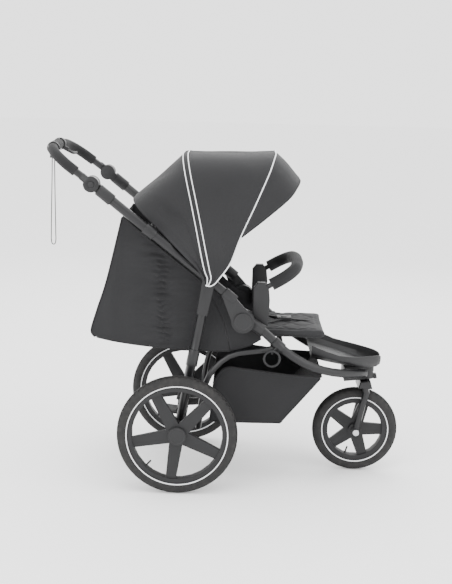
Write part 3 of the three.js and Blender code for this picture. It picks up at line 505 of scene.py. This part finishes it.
def wall_rings(node, centre, radius, half_width, ring_radius):
    body_radius = radius - half_width
    wall = math.sqrt(half_width ** 2 - (body_radius - ring_radius) ** 2)
    rings = []
    for side in (-1, 1):
        bpy.ops.object.select_all(action="DESELECT")
        bpy.ops.mesh.primitive_torus_add(
            major_radius=ring_radius, minor_radius=0.0021, major_segments=120, minor_segments=10,
            location=centre + Vector((0, side * (wall - 0.0006), 0)), rotation=(math.pi / 2, 0, 0))
        rings.append(bpy.context.object)
        settle(rings[-1])
    rings[0].select_set(True)
    bpy.ops.object.join()
    piece = bpy.context.object
    piece.name = node + "_wall_rings"
    smooth(piece, 60)
    dress(piece, "reflective_trim", node_bodies[node])


for node, rim_edge, blocks, ring_radius in (
        ("rear_tyre_right", 0.160, 60, 0.1675), ("rear_tyre_left", 0.160, 60, 0.1675),
        ("front_tyre", 0.108, 46, 0.1165)):
    wall_rings(node, *tyre(node, rim_edge, blocks), ring_radius)

# %% [markdown]
# ## Foam grips
# The push handle and the bumper bar wear long foam sleeves. Each follows the bend of its tube, so it is
# a smooth curve with a round section, drawn through the same places as the tube inside it.

# %% Sleeve the handle and the bumper bar
def tube_piece(name, points, radius, slot, body, replaced, sides=10, resolution=10):
    piece = curve_through(name, points, radius, resolution, sides)
    only(piece)
    bpy.ops.object.convert(target="MESH")
    piece = bpy.context.object
    smooth(piece, 50)
    if replaced:
        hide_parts(*replaced)
    return dress(piece, slot, body)


def mirrored(half):
    return [*half, *[(distance, -across) for distance, across in reversed(half[:-1])]]


def on_slope(start, degrees, distance, y):
    angle = math.radians(degrees)
    return Vector((start.x + distance * math.cos(angle), y, start.z + distance * math.sin(angle)))


FRAME_HALF = 0.237
HANDLE_SLOPE = 143.5
HANDLE_REACH = 0.183
handle_half = [(0.066, 1), (HANDLE_REACH * 0.62, 0.955), (HANDLE_REACH * 0.88, 0.75), (HANDLE_REACH * 0.98, 0.42),
               (HANDLE_REACH, 0)]
handle_points = [on_slope(pivot("handle_tilt"), HANDLE_SLOPE, distance, across * FRAME_HALF)
                 for distance, across in mirrored(handle_half)]
tube_piece("handle_foam", handle_points, 0.017, "grip_foam", "handle", ["handle_grip"], resolution=16)

BUMPER_REACH = 0.105
bumper_start = Vector((0.146, 0, 0.692))
bumper_half = [(0.0, 1), (BUMPER_REACH * 0.42, 0.985), (BUMPER_REACH * 0.78, 0.82), (BUMPER_REACH * 0.95, 0.5),
               (BUMPER_REACH, 0)]
bracket_middle = abs(middle("bumper_bracket_right").y)
bumper_points = [on_slope(bumper_start, 30, distance, across * bracket_middle)
                 for distance, across in mirrored(bumper_half)]
tube_piece("bumper_foam", bumper_points, 0.0205, "grip_foam", "bumper", ["bumper_grip"], resolution=16)

# %% [markdown]
# ## Cloth by hand
# Each cloth panel is a grid of points between two edges. An edge is a smooth line through a few chosen
# places, and the cloth is pulled straight between the two, as real cloth is between two hoops. The
# grid then gets its folds, a UV map in metres for the weave, and a "hem" attribute, which holds the
# distance to the nearest edge, so that the stitching can follow the edge.

# %% Smooth lines and cloth grids
def smooth_line(knots, count):
    knots = [Vector(knot) for knot in knots]
    ends = [knots[0] * 2 - knots[1], *knots, knots[-1] * 2 - knots[-2]]
    fine = []
    for a, b, c, d in zip(ends, ends[1:], ends[2:], ends[3:]):
        for step in range(24):
            t = step / 24
            fine.append(0.5 * (2 * b + (c - a) * t + (2 * a - 5 * b + 4 * c - d) * t * t
                               + (3 * b - a - 3 * c + d) * t ** 3))
    fine.append(knots[-1])
    lengths = [0.0]
    for a, b in zip(fine, fine[1:]):
        lengths.append(lengths[-1] + (b - a).length)
    line = []
    index = 0
    for step in range(count):
        wanted = lengths[-1] * step / (count - 1)
        while index < len(fine) - 2 and lengths[index + 1] < wanted:
            index += 1
        span = lengths[index + 1] - lengths[index] or 1
        line.append(fine[index].lerp(fine[index + 1], (wanted - lengths[index]) / span))
    return line


def between(first, last, rows):
    return [[a.lerp(b, row / (rows - 1)) for a, b in zip(first, last)] for row in range(rows)]


def patch(bottom, top, start, end):
    """Stretches a grid between four edges: its first and last rows, and its first and last columns."""
    rows, columns = len(start), len(bottom)
    grid = []
    for r in range(rows):
        v = r / (rows - 1)
        line = []
        for c in range(columns):
            u = c / (columns - 1)
            corners = (bottom[0].lerp(bottom[-1], u)).lerp(top[0].lerp(top[-1], u), v)
            line.append(bottom[c].lerp(top[c], v) + start[r].lerp(end[r], u) - corners)
        grid.append(line)
    return grid


def cloth_grid(name, grid, slot, hems=(True, True, True, True), thickness=0.0012):
    rows, columns = len(grid), len(grid[0])
    corners = [r * columns + c for r in range(rows - 1) for c in range(columns - 1)]
    faces = [(corner, corner + columns, corner + columns + 1, corner + 1) for corner in corners]
    mesh = bpy.data.meshes.new(name)
    mesh.from_pydata([place for row in grid for place in row], [], faces)
    along = [[0.0] * columns for _ in range(rows)]
    across = [[0.0] * columns for _ in range(rows)]
    for r in range(rows):
        for c in range(columns):
            if c:
                along[r][c] = along[r][c - 1] + (grid[r][c] - grid[r][c - 1]).length
            if r:
                across[r][c] = across[r - 1][c] + (grid[r][c] - grid[r - 1][c]).length
    hem = mesh.attributes.new("hem", "FLOAT", "POINT")
    uv = mesh.uv_layers.new(name="cloth")
    distances = []
    for r in range(rows):
        for c in range(columns):
            nearest = [across[r][c] if hems[0] else 1, across[-1][c] - across[r][c] if hems[1] else 1,
                       along[r][c] if hems[2] else 1, along[r][-1] - along[r][c] if hems[3] else 1]
            distances.append(min(nearest))
    hem.data.foreach_set("value", distances)
    places = [(along[r][c], across[r][c]) for r in range(rows) for c in range(columns)]
    for loop in mesh.loops:
        uv.data[loop.index].uv = places[loop.vertex_index]
    piece = bpy.data.objects.new(name, mesh)
    bpy.context.scene.collection.objects.link(piece)
    cut = {"flat": (max(row[-1] for row in along), max(across[-1])),
           "area": sum(face.area for face in mesh.polygons)}
    if thickness:
        modify(piece, "SOLIDIFY", thickness=thickness, offset=0)
    only(piece)
    bpy.ops.object.shade_smooth()
    dress(piece, slot)
    return piece, cut


def creased(grid, depth_at):
    """Moves each inner point along the grid's own normal by depth_at(row share, column share, place)."""
    rows, columns = len(grid), len(grid[0])
    moved = []
    for r, row in enumerate(grid):
        line = []
        for c, place in enumerate(row):
            down = grid[min(r + 1, rows - 1)][c] - grid[max(r - 1, 0)][c]
            over = row[min(c + 1, columns - 1)] - row[max(c - 1, 0)]
            depth = depth_at(r / (rows - 1), c / (columns - 1), place)
            line.append(place + down.cross(over).normalized() * depth)
        moved.append(line)
    return moved


def wander(x, y, seed=0.0):
    return noise.noise(Vector((x, y, seed)))


def held_at_ends(share):
    return min(1.0, share * 8, (1 - share) * 8)


# %% [markdown]
# ## Canopy
# The canopy is three cloth panels pulled tight over two hoops that fan out from one pin on each side.
# An edge's places are given as the angle and the distance from the pin, seen from the side, and the
# distance from the middle. Near the pin the cloth narrows to a rounded tab that covers the hub. The
# rear and middle panels meet at a narrow sleeve over the middle hoop, with a pale piping on each side
# of it, and a third piping runs round the front edge. The front panel is the sun visor.

# %% Edges of the hood
CANOPY_PIN = pivot("canopy_mid_fold")
HOOD_FOOT = max(abs(corner.y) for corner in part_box("canopy_hub_right")) + 0.0012
HOOD_OUT = 0.0095
HOOP_FOOT = 0.27405
MID_RADIUS = 0.391
FRONT_RADIUS = 0.440


def from_pin(degrees, radius, y):
    angle = math.radians(degrees)
    return Vector((CANOPY_PIN.x + radius * math.cos(angle), y, CANOPY_PIN.z + radius * math.sin(angle)))


def hood_shape(radius, out=HOOD_OUT):
    """Distance from the pin and from the middle along one half of a hoop, from above the tab to the top."""
    foot = HOOP_FOOT
    half = [(0.055, foot - 0.001), (0.090, foot - 0.008), (0.165, foot - 0.038), (radius * 0.62, 0.216),
            (radius - 0.062, 0.202), (radius - 0.018, 0.158), (radius - 0.002, 0.088), (radius, 0)]
    return [(reach + out * (0.6 if index < 6 else 1), y + (out if index < 7 else 0))
            for index, (reach, y) in enumerate(half)]


def hood_edge(angle_at, radius, tab, count, out=HOOD_OUT, start=0.0):
    """One edge from the right side over the top to the left side. angle_at gives degrees at a distance."""
    half = [(degrees, reach, HOOD_FOOT) for degrees, reach in tab]
    half += [(angle_at(reach), reach, y) for reach, y in hood_shape(radius, out) if reach > start]
    knots = [from_pin(degrees, reach, -y) for degrees, reach, y in half]
    knots += [from_pin(degrees, reach, y) for degrees, reach, y in reversed(half[:-1])]
    return smooth_line(knots, count)


def read_off(rows):
    def value(place):
        for (at0, value0), (at1, value1) in zip(rows, rows[1:]):
            if place <= at1:
                return value0 + (value1 - value0) * max(0.0, (place - at0) / (at1 - at0))
        return rows[-1][1]
    return value


MID_ANGLE = 103.2
SLEEVE = 0.0085
front_angle = read_off([(0.055, 30), (0.100, 43.5), (0.174, 55), (0.267, 58.8), (0.346, 60.7), (0.440, 62.4)])
visor_turn = read_off([(0.165, 0.6), (0.230, 8), (0.283, 12.4), (0.339, 14.8), (0.440, 15.6)])


def beside_mid(offset):
    return lambda reach: MID_ANGLE + math.degrees(math.asin(min(1, offset / max(reach, 0.02))))


HOOD_COLUMNS = 150
rear_hem = hood_edge(lambda reach: 138.2, 0.347, [(-128, 0.019), (175, 0.020), (147, 0.030)], HOOD_COLUMNS)
mid_rear = hood_edge(beside_mid(SLEEVE), MID_RADIUS, [(-112, 0.019), (135, 0.008), (118, 0.030)], HOOD_COLUMNS)
mid_front = hood_edge(beside_mid(-SLEEVE), MID_RADIUS, [(-100, 0.019), (40, 0.008), (88, 0.030)], HOOD_COLUMNS)
front_tab = [(-92, 0.0195), (-45, 0.0205), (-8, 0.025), (15, 0.036)]
front_edge = hood_edge(front_angle, FRONT_RADIUS, front_tab, HOOD_COLUMNS)
print("hood edges", len(rear_hem), len(front_edge), "places each")

# %% Sew the rear and middle panels
def slack(depth, folds, seed):
    def depth_at(row, column, place):
        span = math.sin(math.pi * row)
        side = abs(column - 0.5) * 2
        tension = wander(row * 2.6 + column * 11, column * 4, seed) * folds * (0.5 + side)
        drift = 2 * wander(row * 3, column * 8, seed + 5)
        pulls = math.sin(row * 8 + column * 30 + drift) ** 3 * folds * 0.55 * side
        return span * (depth + tension + pulls)
    return depth_at


rear_panel, rear_cut = cloth_grid(
    "canopy_rear_panel", creased(between(rear_hem, mid_rear, 46), slack(-0.003, 0.0075, 3)), "canopy_cloth")
middle_panel, middle_cut = cloth_grid(
    "canopy_middle_panel", creased(between(mid_front, front_edge, 52), slack(-0.003, 0.0050, 11)), "canopy_cloth")
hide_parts("canopy_rear")
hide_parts("canopy_middle")
from_pin(139, 0.25, 0)
from_pin(105, 0.25, 0)
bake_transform(rear_panel)
from_pin(101, 0.25, 0)
from_pin(62, 0.25, 0)
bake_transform(middle_panel)
print("canopy cloth", rear_cut, middle_cut)

# %% Sew the visor
VISOR_START = 0.168
visor_back = hood_edge(front_angle, FRONT_RADIUS, [], 110, start=VISOR_START)
visor_front = hood_edge(lambda reach: front_angle(reach) - visor_turn(reach), 0.418, [], 110, start=VISOR_START)


def visor_curl(row, column, place):
    return 0.004 * math.sin(math.pi * row) + wander(row * 2, column * 7, 21) * 0.003 * row


visor, visor_cut = cloth_grid("canopy_sun_visor", creased(between(visor_back, visor_front, 30), visor_curl),
                               "canopy_cloth")
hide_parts("canopy_visor")
from_pin(61.5, 0.33, 0)
from_pin(58.5, 0.33, 0)
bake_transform(visor)
print("visor cloth", visor_cut)

# %% Sleeve and pipings
def piping(name, line, radius, slot, body):
    return tube_piece(name, line, radius, slot, body, [], sides=3, resolution=2)


lifted = HOOD_OUT + 0.0016
sleeve_left = hood_edge(beside_mid(SLEEVE + 0.001), MID_RADIUS, [(-114, 0.019), (135, 0.009), (120, 0.030)],
                        120, lifted)
sleeve_right = hood_edge(beside_mid(-SLEEVE - 0.001), MID_RADIUS, [(-98, 0.019), (40, 0.009), (86, 0.030)],
                         120, lifted)
sleeve = cloth_grid("canopy_bow_sleeve", between(sleeve_left, sleeve_right, 5), "canopy_cloth",
                    (False, False, False, False))[0]
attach(sleeve, "canopy_mid")
piping("canopy_piping_mid_rear",
       hood_edge(beside_mid(SLEEVE), MID_RADIUS, [(-112, 0.0195), (135, 0.008), (118, 0.030)], 90, lifted + 0.0008),
       0.0018, "reflective_trim", "canopy_mid")
piping("canopy_piping_mid_front",
       hood_edge(beside_mid(-SLEEVE), MID_RADIUS, [(-100, 0.0195), (40, 0.008), (88, 0.030)], 90, lifted + 0.0008),
       0.0018, "reflective_trim", "canopy_mid")
piping("canopy_piping_front", hood_edge(front_angle, FRONT_RADIUS, [(-128, 0.0195), *front_tab], 110, lifted),
       0.0021, "reflective_trim", "canopy_front")
piping("canopy_piping_visor", visor_front, 0.0016, "canopy_cloth", "visor")

# %% [markdown]
# ## Back body
# Behind the seat hangs a deep cloth body, open at the top and the front, so that a child can lie flat.
# It is one shell of four panels that share their edges: two sides, a back and a floor. Each side has
# an elastic seam that gathers the cloth into short ruched folds. The shell sags a little between the
# frame and the floor.

# %% Places of the back body
TUBE_SLOPE = math.radians(38.4)
HANDLE_PIN = pivot("handle_tilt")
BAG_HALF = 0.199


def by_tube(distance, above):
    return Vector((HANDLE_PIN.x + distance * math.cos(TUBE_SLOPE) + above * math.sin(TUBE_SLOPE), 0,
                   HANDLE_PIN.z - distance * math.sin(TUBE_SLOPE) + above * math.cos(TUBE_SLOPE)))


BAG_COLUMNS = 150
BAG_ROWS = 110
bag_top = smooth_line([by_tube(0.477, -0.026), by_tube(0.271, -0.027), by_tube(0.142, -0.026)], BAG_COLUMNS)
bag_bottom = smooth_line([(0.016, 0, 0.4645), (-0.12, 0, 0.4665), (-0.252, 0, 0.4745), (-0.36, 0, 0.487),
                          (-0.436, 0, 0.502)], BAG_COLUMNS)
bag_front = smooth_line([(0.016, 0, 0.4645), (-0.016, 0, 0.58), by_tube(0.477, -0.026)], BAG_ROWS)
bag_rear = smooth_line([(-0.436, 0, 0.502), (-0.449, 0, 0.525), (-0.428, 0, 0.600), (-0.397, 0, 0.700),
                        by_tube(0.142, -0.026)], BAG_ROWS)


def gather(row, column, place):
    """Ruched folds along the side's elastic seam, and soft vertical folds over the rest of the panel."""
    seam = place.x + 0.214 + 0.02 * (row - 0.5)
    rucks = math.sin(place.z * 330 + 4 * wander(place.x * 40, place.z * 20, 2))
    ruching = math.exp(-(seam / 0.026) ** 2) * rucks
    pulled = math.exp(-(seam / 0.09) ** 2) * wander(place.x * 12, place.z * 55, 7)
    folds = math.sin(place.x * 55 + 3 * wander(place.x * 5, place.z * 4, 9)) * 0.0018
    edge = min(1, min(row, 1 - row) * 9) * min(1, min(column, 1 - column) * 14)
    belly = math.sin(math.pi * row) * math.sin(math.pi * min(1, column * 1.1))
    return edge * (ruching * 0.0055 + pulled * 0.009 + folds) - belly * 0.004


def side_panel(side):
    offset = Vector((0, side * BAG_HALF, 0))
    flat = [[place + offset for place in row] for row in patch(bag_bottom, bag_top, bag_front, bag_rear)]
    return creased(flat, lambda row, column, place: side * gather(row, column, place))


# %% Sew the back body
def welded(name, pieces, slot, body, replaced, thickness=0.0015):
    only(pieces[0])
    for other in pieces[1:]:
        other.select_set(True)
    bpy.ops.object.join()
    piece = bpy.context.object
    piece.name = name
    bpy.ops.object.mode_set(mode="EDIT")
    bpy.ops.mesh.select_all(action="SELECT")
    bpy.ops.mesh.remove_doubles(threshold=0.0003)
    bpy.ops.mesh.normals_make_consistent(inside=False)
    bpy.ops.object.mode_set(mode="OBJECT")
    modify(piece, "SMOOTH", factor=0.5, iterations=3)
    area = sum(face.area for face in piece.data.polygons)
    modify(piece, "SOLIDIFY", thickness=thickness, offset=-1)
    smooth(piece, 60)
    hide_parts(*replaced)
    dress(piece, slot, body)
    return piece, area


CROSS_ROWS = 50
side_grids = [side_panel(side) for side in SIDES.values()]
sides_made = [cloth_grid("back_side_" + hand, grid, "canopy_cloth", (True, True, False, False), 0)[0]
              for hand, grid in zip(SIDES, side_grids)]
floor_grid = between(side_grids[0][0], side_grids[1][0], CROSS_ROWS)
floor_grid = creased(floor_grid, lambda row, column, place:
                     -held_at_ends(row) * held_at_ends(column) * 0.004 * (1 + wander(row * 4, column * 5, 4)))
back_lines = [[row[-1] for row in grid] for grid in side_grids]
back_grid = between(*back_lines, CROSS_ROWS)
back_grid = creased(back_grid, lambda row, column, place:
                    held_at_ends(row) * held_at_ends(column) * (0.004 * wander(row * 6, column * 4, 6) - 0.003))
back_made = [cloth_grid("back_floor", floor_grid, "canopy_cloth", (True, True, True, False), 0)[0],
             cloth_grid("back_wall", back_grid, "canopy_cloth", (True, True, False, True), 0)[0]]
back_body, back_area = welded("back_body", sides_made + back_made, "canopy_cloth", "upper_frame", ["back_fabric"])
print("back body", round(back_area, 3), "square metres")

# %% Bindings of the back body
for hand, grid in zip(SIDES, side_grids):
    piping(f"back_binding_{hand}", grid[-1][::2] + [row[-1] for row in reversed(grid[::3])], 0.0024,
           "strap_webbing", "upper_frame")
    piping(f"back_bottom_seam_{hand}", grid[0][::3], 0.0021, "canopy_cloth", "upper_frame")

# %% [markdown]
# ## Seat sides
# Between the back body and the seat, a cloth side closes the gap under each upper tube. When the frame
# folds this cloth crumples.

# %% Sew the seat sides
SEAT_SIDE_HALF = 0.1965
seat_side_top = smooth_line([by_tube(0.477, -0.026), by_tube(0.535, -0.020), (0.035, 0, 0.605),
                             (0.092, 0, 0.588)], 60)
seat_side_bottom = smooth_line([(0.016, 0, 0.4645), (0.045, 0, 0.472), (0.080, 0, 0.484), (0.118, 0, 0.506)], 60)
seat_side_front = smooth_line([(0.118, 0, 0.506), (0.112, 0, 0.55), (0.092, 0, 0.588)], BAG_ROWS // 2)
for hand, side in SIDES.items():
    offset = Vector((0, side * SEAT_SIDE_HALF, 0))
    edges = [[place + offset for place in line]
             for line in (seat_side_bottom, seat_side_top, bag_front[::2], seat_side_front)]
    grid = creased(patch(*edges), lambda row, column, place:
                   side * math.sin(math.pi * row) * (0.004 * wander(place.x * 22, place.z * 16, 13) - 0.001))
    piece, cut = cloth_grid(f"seat_side_{hand}", grid, "canopy_cloth")
    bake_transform(piece)
    print("seat side", hand, cut)

# %% [markdown]
# ## Basket
# The basket is a cloth tray with a slanted front. Its rim is bound with webbing and dips a little
# between its hangers.

# %% Sew the basket
BASKET_HALF = 0.1845
basket_bottom = smooth_line([(-0.050, 0, 0.2165), (0.06, 0, 0.2155), (0.19, 0, 0.2165)], 60)
basket_rim = smooth_line([(-0.038, 0, 0.352), (0.0, 0, 0.402), (0.067, 0, 0.4005), (0.2, 0, 0.3855),
                          (0.325, 0, 0.3785)], 60)


def basket_side(side):
    grid = between(basket_bottom, basket_rim, 44)
    flat = [[Vector((place.x, side * BASKET_HALF, place.z)) for place in row] for row in grid]
    return creased(flat, lambda row, column, place: side * math.sin(math.pi * row) * held_at_ends(column)
                   * (0.002 + 0.0035 * wander(place.x * 14, place.z * 12, 17)))


basket_sides = [basket_side(side) for side in SIDES.values()]
basket_floor = creased(
    between(basket_sides[0][0], basket_sides[1][0], 44),
    lambda row, column, place: 0.002 * held_at_ends(row) * held_at_ends(column) * wander(row * 5, column * 4, 19))
basket_front = between([row[-1] for row in basket_sides[0]], [row[-1] for row in basket_sides[1]], 44)
basket_rear = between([row[0] for row in basket_sides[0]], [row[0] for row in basket_sides[1]], 44)
basket_made = [cloth_grid(f"basket_panel_{index}", grid, "basket_cloth", thickness=0)[0]
               for index, grid in enumerate((*basket_sides, basket_floor, basket_front, basket_rear))]
basket, basket_area = welded("shopping_basket", basket_made, "basket_cloth", "chassis", ["basket"], 0.0018)
print("basket", round(basket_area, 3))
rim_right = basket_sides[0][-1]
rim_left = basket_sides[1][-1]
front_rim_edge = [rim_right[-1].lerp(rim_left[-1], step / 12) for step in range(1, 12)]
rim_loop = rim_right[::2] + front_rim_edge + rim_left[::-1][::2]
piping("basket_binding", rim_loop, 0.0032, "strap_webbing", "chassis")
for hand, grid in zip(SIDES, basket_sides):
    piping(f"basket_seam_{hand}", grid[0][::3] + [row[-1] for row in grid[::3]], 0.0018, "basket_cloth",
           "chassis")

# %% [markdown]
# ## Seat and back cushions
# A cushion starts as a rounded block, a little smaller than the finished pad. It is remeshed into even
# small faces, and a cloth simulation blows it up. Each point may move a few millimetres and no more,
# so the pad keeps its outline and its faces crown. The sewn channels come after that, because the
# remesh would erase them. They cross in diamonds, and each one pulls the cloth down where it runs.

# %% Cushion helpers
def pad_block(name, size, corner, edge):
    bpy.ops.object.select_all(action="DESELECT")
    bpy.ops.mesh.primitive_cube_add(size=1, scale=size)
    piece = bpy.context.object
    piece.name = name
    settle(piece)
    bpy.ops.object.mode_set(mode="EDIT")
    bpy.ops.mesh.select_all(action="DESELECT")
    mesh = bmesh.from_edit_mesh(piece.data)
    for upright in mesh.edges:
        upright.select = abs(upright.verts[0].co.z - upright.verts[1].co.z) > size[2] * 0.9
    bmesh.update_edit_mesh(piece.data)
    bpy.ops.mesh.bevel(offset=corner, segments=8, affect="EDGES")
    bpy.ops.mesh.select_all(action="SELECT")
    bpy.ops.mesh.bevel(offset=edge, segments=4, affect="EDGES", clamp_overlap=True)
    bpy.ops.object.mode_set(mode="OBJECT")
    return piece


PAD_PRESSURE = 4.0
PAD_VOXEL = 0.0075


def puffed(piece, cap):
    """Blows a closed shape up as cloth, keeps each point within cap of where it was, and smooths it."""
    modify(piece, "REMESH", mode="VOXEL", voxel_size=PAD_VOXEL)
    before = [vertex.co.copy() for vertex in piece.data.vertices]
    only(piece)
    cloth = piece.modifiers.new("Cloth", "CLOTH")
    cloth.settings.use_pressure = True
    cloth.settings.uniform_pressure_force = PAD_PRESSURE
    cloth.settings.effector_weights.gravity = 0
    cloth.settings.quality = 3
    for step in range(1, 21):
        bpy.context.scene.frame_set(step)
    bpy.ops.object.modifier_apply(modifier=cloth.name)
    bpy.context.scene.frame_set(1)
    for vertex, start in zip(piece.data.vertices, before):
        moved = vertex.co - start
        if moved.length > cap:
            vertex.co = start + moved.normalized() * cap
    modify(piece, "SUBSURF", levels=1, render_levels=1)


def quilted(piece, spacing=0.062, depth=0.0026, width=0.006, border=0.022):
    """Sews diamond channels into the pad's upper face, and one seam all round it."""
    low = Vector([min(vertex.co[axis] for vertex in piece.data.vertices) for axis in range(3)])
    high = Vector([max(vertex.co[axis] for vertex in piece.data.vertices) for axis in range(3)])
    for vertex in piece.data.vertices:
        x, y, z = vertex.co
        upward = max(0.0, vertex.normal.z)
        inside = min(x - low.x, high.x - x, y - low.y, high.y - y)
        fade = min(1.0, max(0.0, (inside - border) / 0.012))
        lines = [abs((a / spacing + 0.5) % 1 - 0.5) * spacing for a in (x * 0.8 + y * 0.6, x * 0.8 - y * 0.6)]
        channel = max(math.exp(-(line / width) ** 2) for line in lines) * fade
        rim = math.exp(-((inside - border) / width) ** 2)
        ruck = wander(x * 30, y * 45, 31) * 0.0012
        vertex.co.z += (ruck - depth * max(channel, rim * 0.8)) * upward


def lay(piece, place, degrees):
    piece.location = place
    piece.rotation_euler = (0, math.radians(degrees), 0)
    settle(piece)


# %% Make the seat cushion
seat_low, seat_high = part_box("seat_pad")
seat_size = seat_high - seat_low
seat_cushion = pad_block("seat_cushion", (seat_size.x - 0.006, seat_size.y - 0.010, seat_size.z - 0.008),
                         0.045, 0.008)
puffed(seat_cushion, cap=0.007)
quilted(seat_cushion)
lay(seat_cushion, (seat_low + seat_high) / 2, 0)
smooth(seat_cushion, 70)
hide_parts("seat_pad")
dress(seat_cushion, "seat_cloth", "chassis")
print("seat cushion", len(seat_cushion.data.polygons), "faces")

# %% Make the back cushion
BOARD_LIE = 5
board_hinge = pivot("backrest_recline")
board_along = Vector((-math.cos(math.radians(BOARD_LIE)), 0, math.sin(math.radians(BOARD_LIE))))
board_up = Vector((math.sin(math.radians(BOARD_LIE)), 0, math.cos(math.radians(BOARD_LIE))))
back_cushion = pad_block("back_cushion", (0.395, 0.300, 0.017), 0.055, 0.006)
puffed(back_cushion, cap=0.006)
quilted(back_cushion)
lay(back_cushion, board_hinge + board_along * 0.2175 + board_up * 0.0148, BOARD_LIE)
smooth(back_cushion, 70)
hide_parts("backrest_pad")
dress(back_cushion, "seat_cloth", "backrest")
print("back cushion", len(back_cushion.data.polygons), "faces")

# %% [markdown]
# ## Harness
# Flat webbing straps run over the cushions: two from the shoulders down the back to the buckle, two
# from the hips, and one between the legs. Webbing is a thin flat strip, so each strap is a narrow grid
# laid along its route. The shoulder straps are held by the back, the others by the seat.

# %% Lay the harness straps
def webbing(name, route, across, width, body):
    line = smooth_line(route, 40)
    half = Vector(across).normalized() * width / 2
    rows = [[place - half + half * 2 * step / 4 for place in line] for step in range(5)]
    piece = cloth_grid(name, rows, "strap_webbing", (True, True, False, False), 0.0016)[0]
    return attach(piece, body)


def on_cushion(distance, lift, y):
    place = board_hinge + board_along * distance + board_up * (0.030 + lift)
    return Vector((place.x, y, place.z))


seat_top = seat_high.z + 0.0045
for hand, side in SIDES.items():
    webbing(f"shoulder_strap_{hand}",
            [on_cushion(0.335, -0.002, side * 0.062), on_cushion(0.30, 0.002, side * 0.060),
             on_cushion(0.18, 0.002, side * 0.052), on_cushion(0.03, 0.004, side * 0.036)],
            (0, 1, 0), 0.024, "backrest")
    webbing(f"hip_strap_{hand}",
            [(0.060, side * 0.150, seat_top - 0.004), (0.090, side * 0.110, seat_top),
             (0.150, side * 0.055, seat_top + 0.001), (0.186, side * 0.024, seat_top + 0.005)],
            (1, side * 0.7, 0), 0.022, "chassis")
webbing("crotch_strap", [(0.300, 0, seat_top - 0.003), (0.270, 0, seat_top), (0.235, 0, seat_top + 0.002),
                         (0.222, 0, seat_top + 0.004)], (0, 1, 0), 0.026, "chassis")

# %% [markdown]
# ## Caps
# Moulded caps cover the ends of the rear wheel hubs and the middle of each fold hub. A cap is a short
# cylinder whose outer face is inset three times: the first inset makes the rim, the second is pushed
# in for the shallow dish, and the third comes part of the way out again. The edges are then bevelled.

# %% Mould the caps
def cap(name, centre, side, radius, height, dish, slot, body):
    bpy.ops.object.select_all(action="DESELECT")
    bpy.ops.mesh.primitive_cylinder_add(vertices=64, radius=radius, depth=height, rotation=(math.pi / 2, 0, 0),
                                        location=Vector(centre) + Vector((0, side * height / 2, 0)))
    piece = bpy.context.object
    piece.name = name
    settle(piece)
    bpy.ops.object.mode_set(mode="EDIT")
    bpy.ops.mesh.select_all(action="DESELECT")
    mesh = bmesh.from_edit_mesh(piece.data)
    for face in mesh.faces:
        face.select = face.normal.y * side > 0.9
    bmesh.update_edit_mesh(piece.data)
    bpy.ops.mesh.inset(thickness=radius * 0.16)
    bpy.ops.mesh.inset(thickness=radius * 0.07)
    bpy.ops.transform.translate(value=(0, -side * dish, 0))
    bpy.ops.mesh.inset(thickness=radius * 0.3)
    bpy.ops.transform.translate(value=(0, side * dish * 0.7, 0))
    bpy.ops.object.mode_set(mode="OBJECT")
    modify(piece, "BEVEL", width=min(0.0015, height * 0.3), segments=3, limit_method="ANGLE",
           angle_limit=math.radians(40))
    smooth(piece, 50)
    return dress(piece, slot, body)


CAP_RADIUS = 0.030
CAP_HEIGHT = 0.006
FOLD_HUB_FACE = 0.2535
for hand, side in SIDES.items():
    rear_low, rear_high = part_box(f"rear_rim_{hand}")
    rear_face = max(abs(rear_low.y), abs(rear_high.y))
    rear_centre = middle(f"rear_rim_{hand}")
    cap(f"rear_hub_cap_{hand}", (rear_centre.x, side * (rear_face - 0.001), rear_centre.z), side, CAP_RADIUS,
        CAP_HEIGHT, 0.0018, "black_plastic", f"rear_wheel_{hand}")
    fold_pin = pivot("fold")
    cap(f"fold_hub_cap_{hand}", (fold_pin.x, side * FOLD_HUB_FACE, fold_pin.z), side, CAP_RADIUS, CAP_HEIGHT,
        0.0015, "black_plastic", "upper_frame")
print("caps on the rear hubs and the fold hubs")
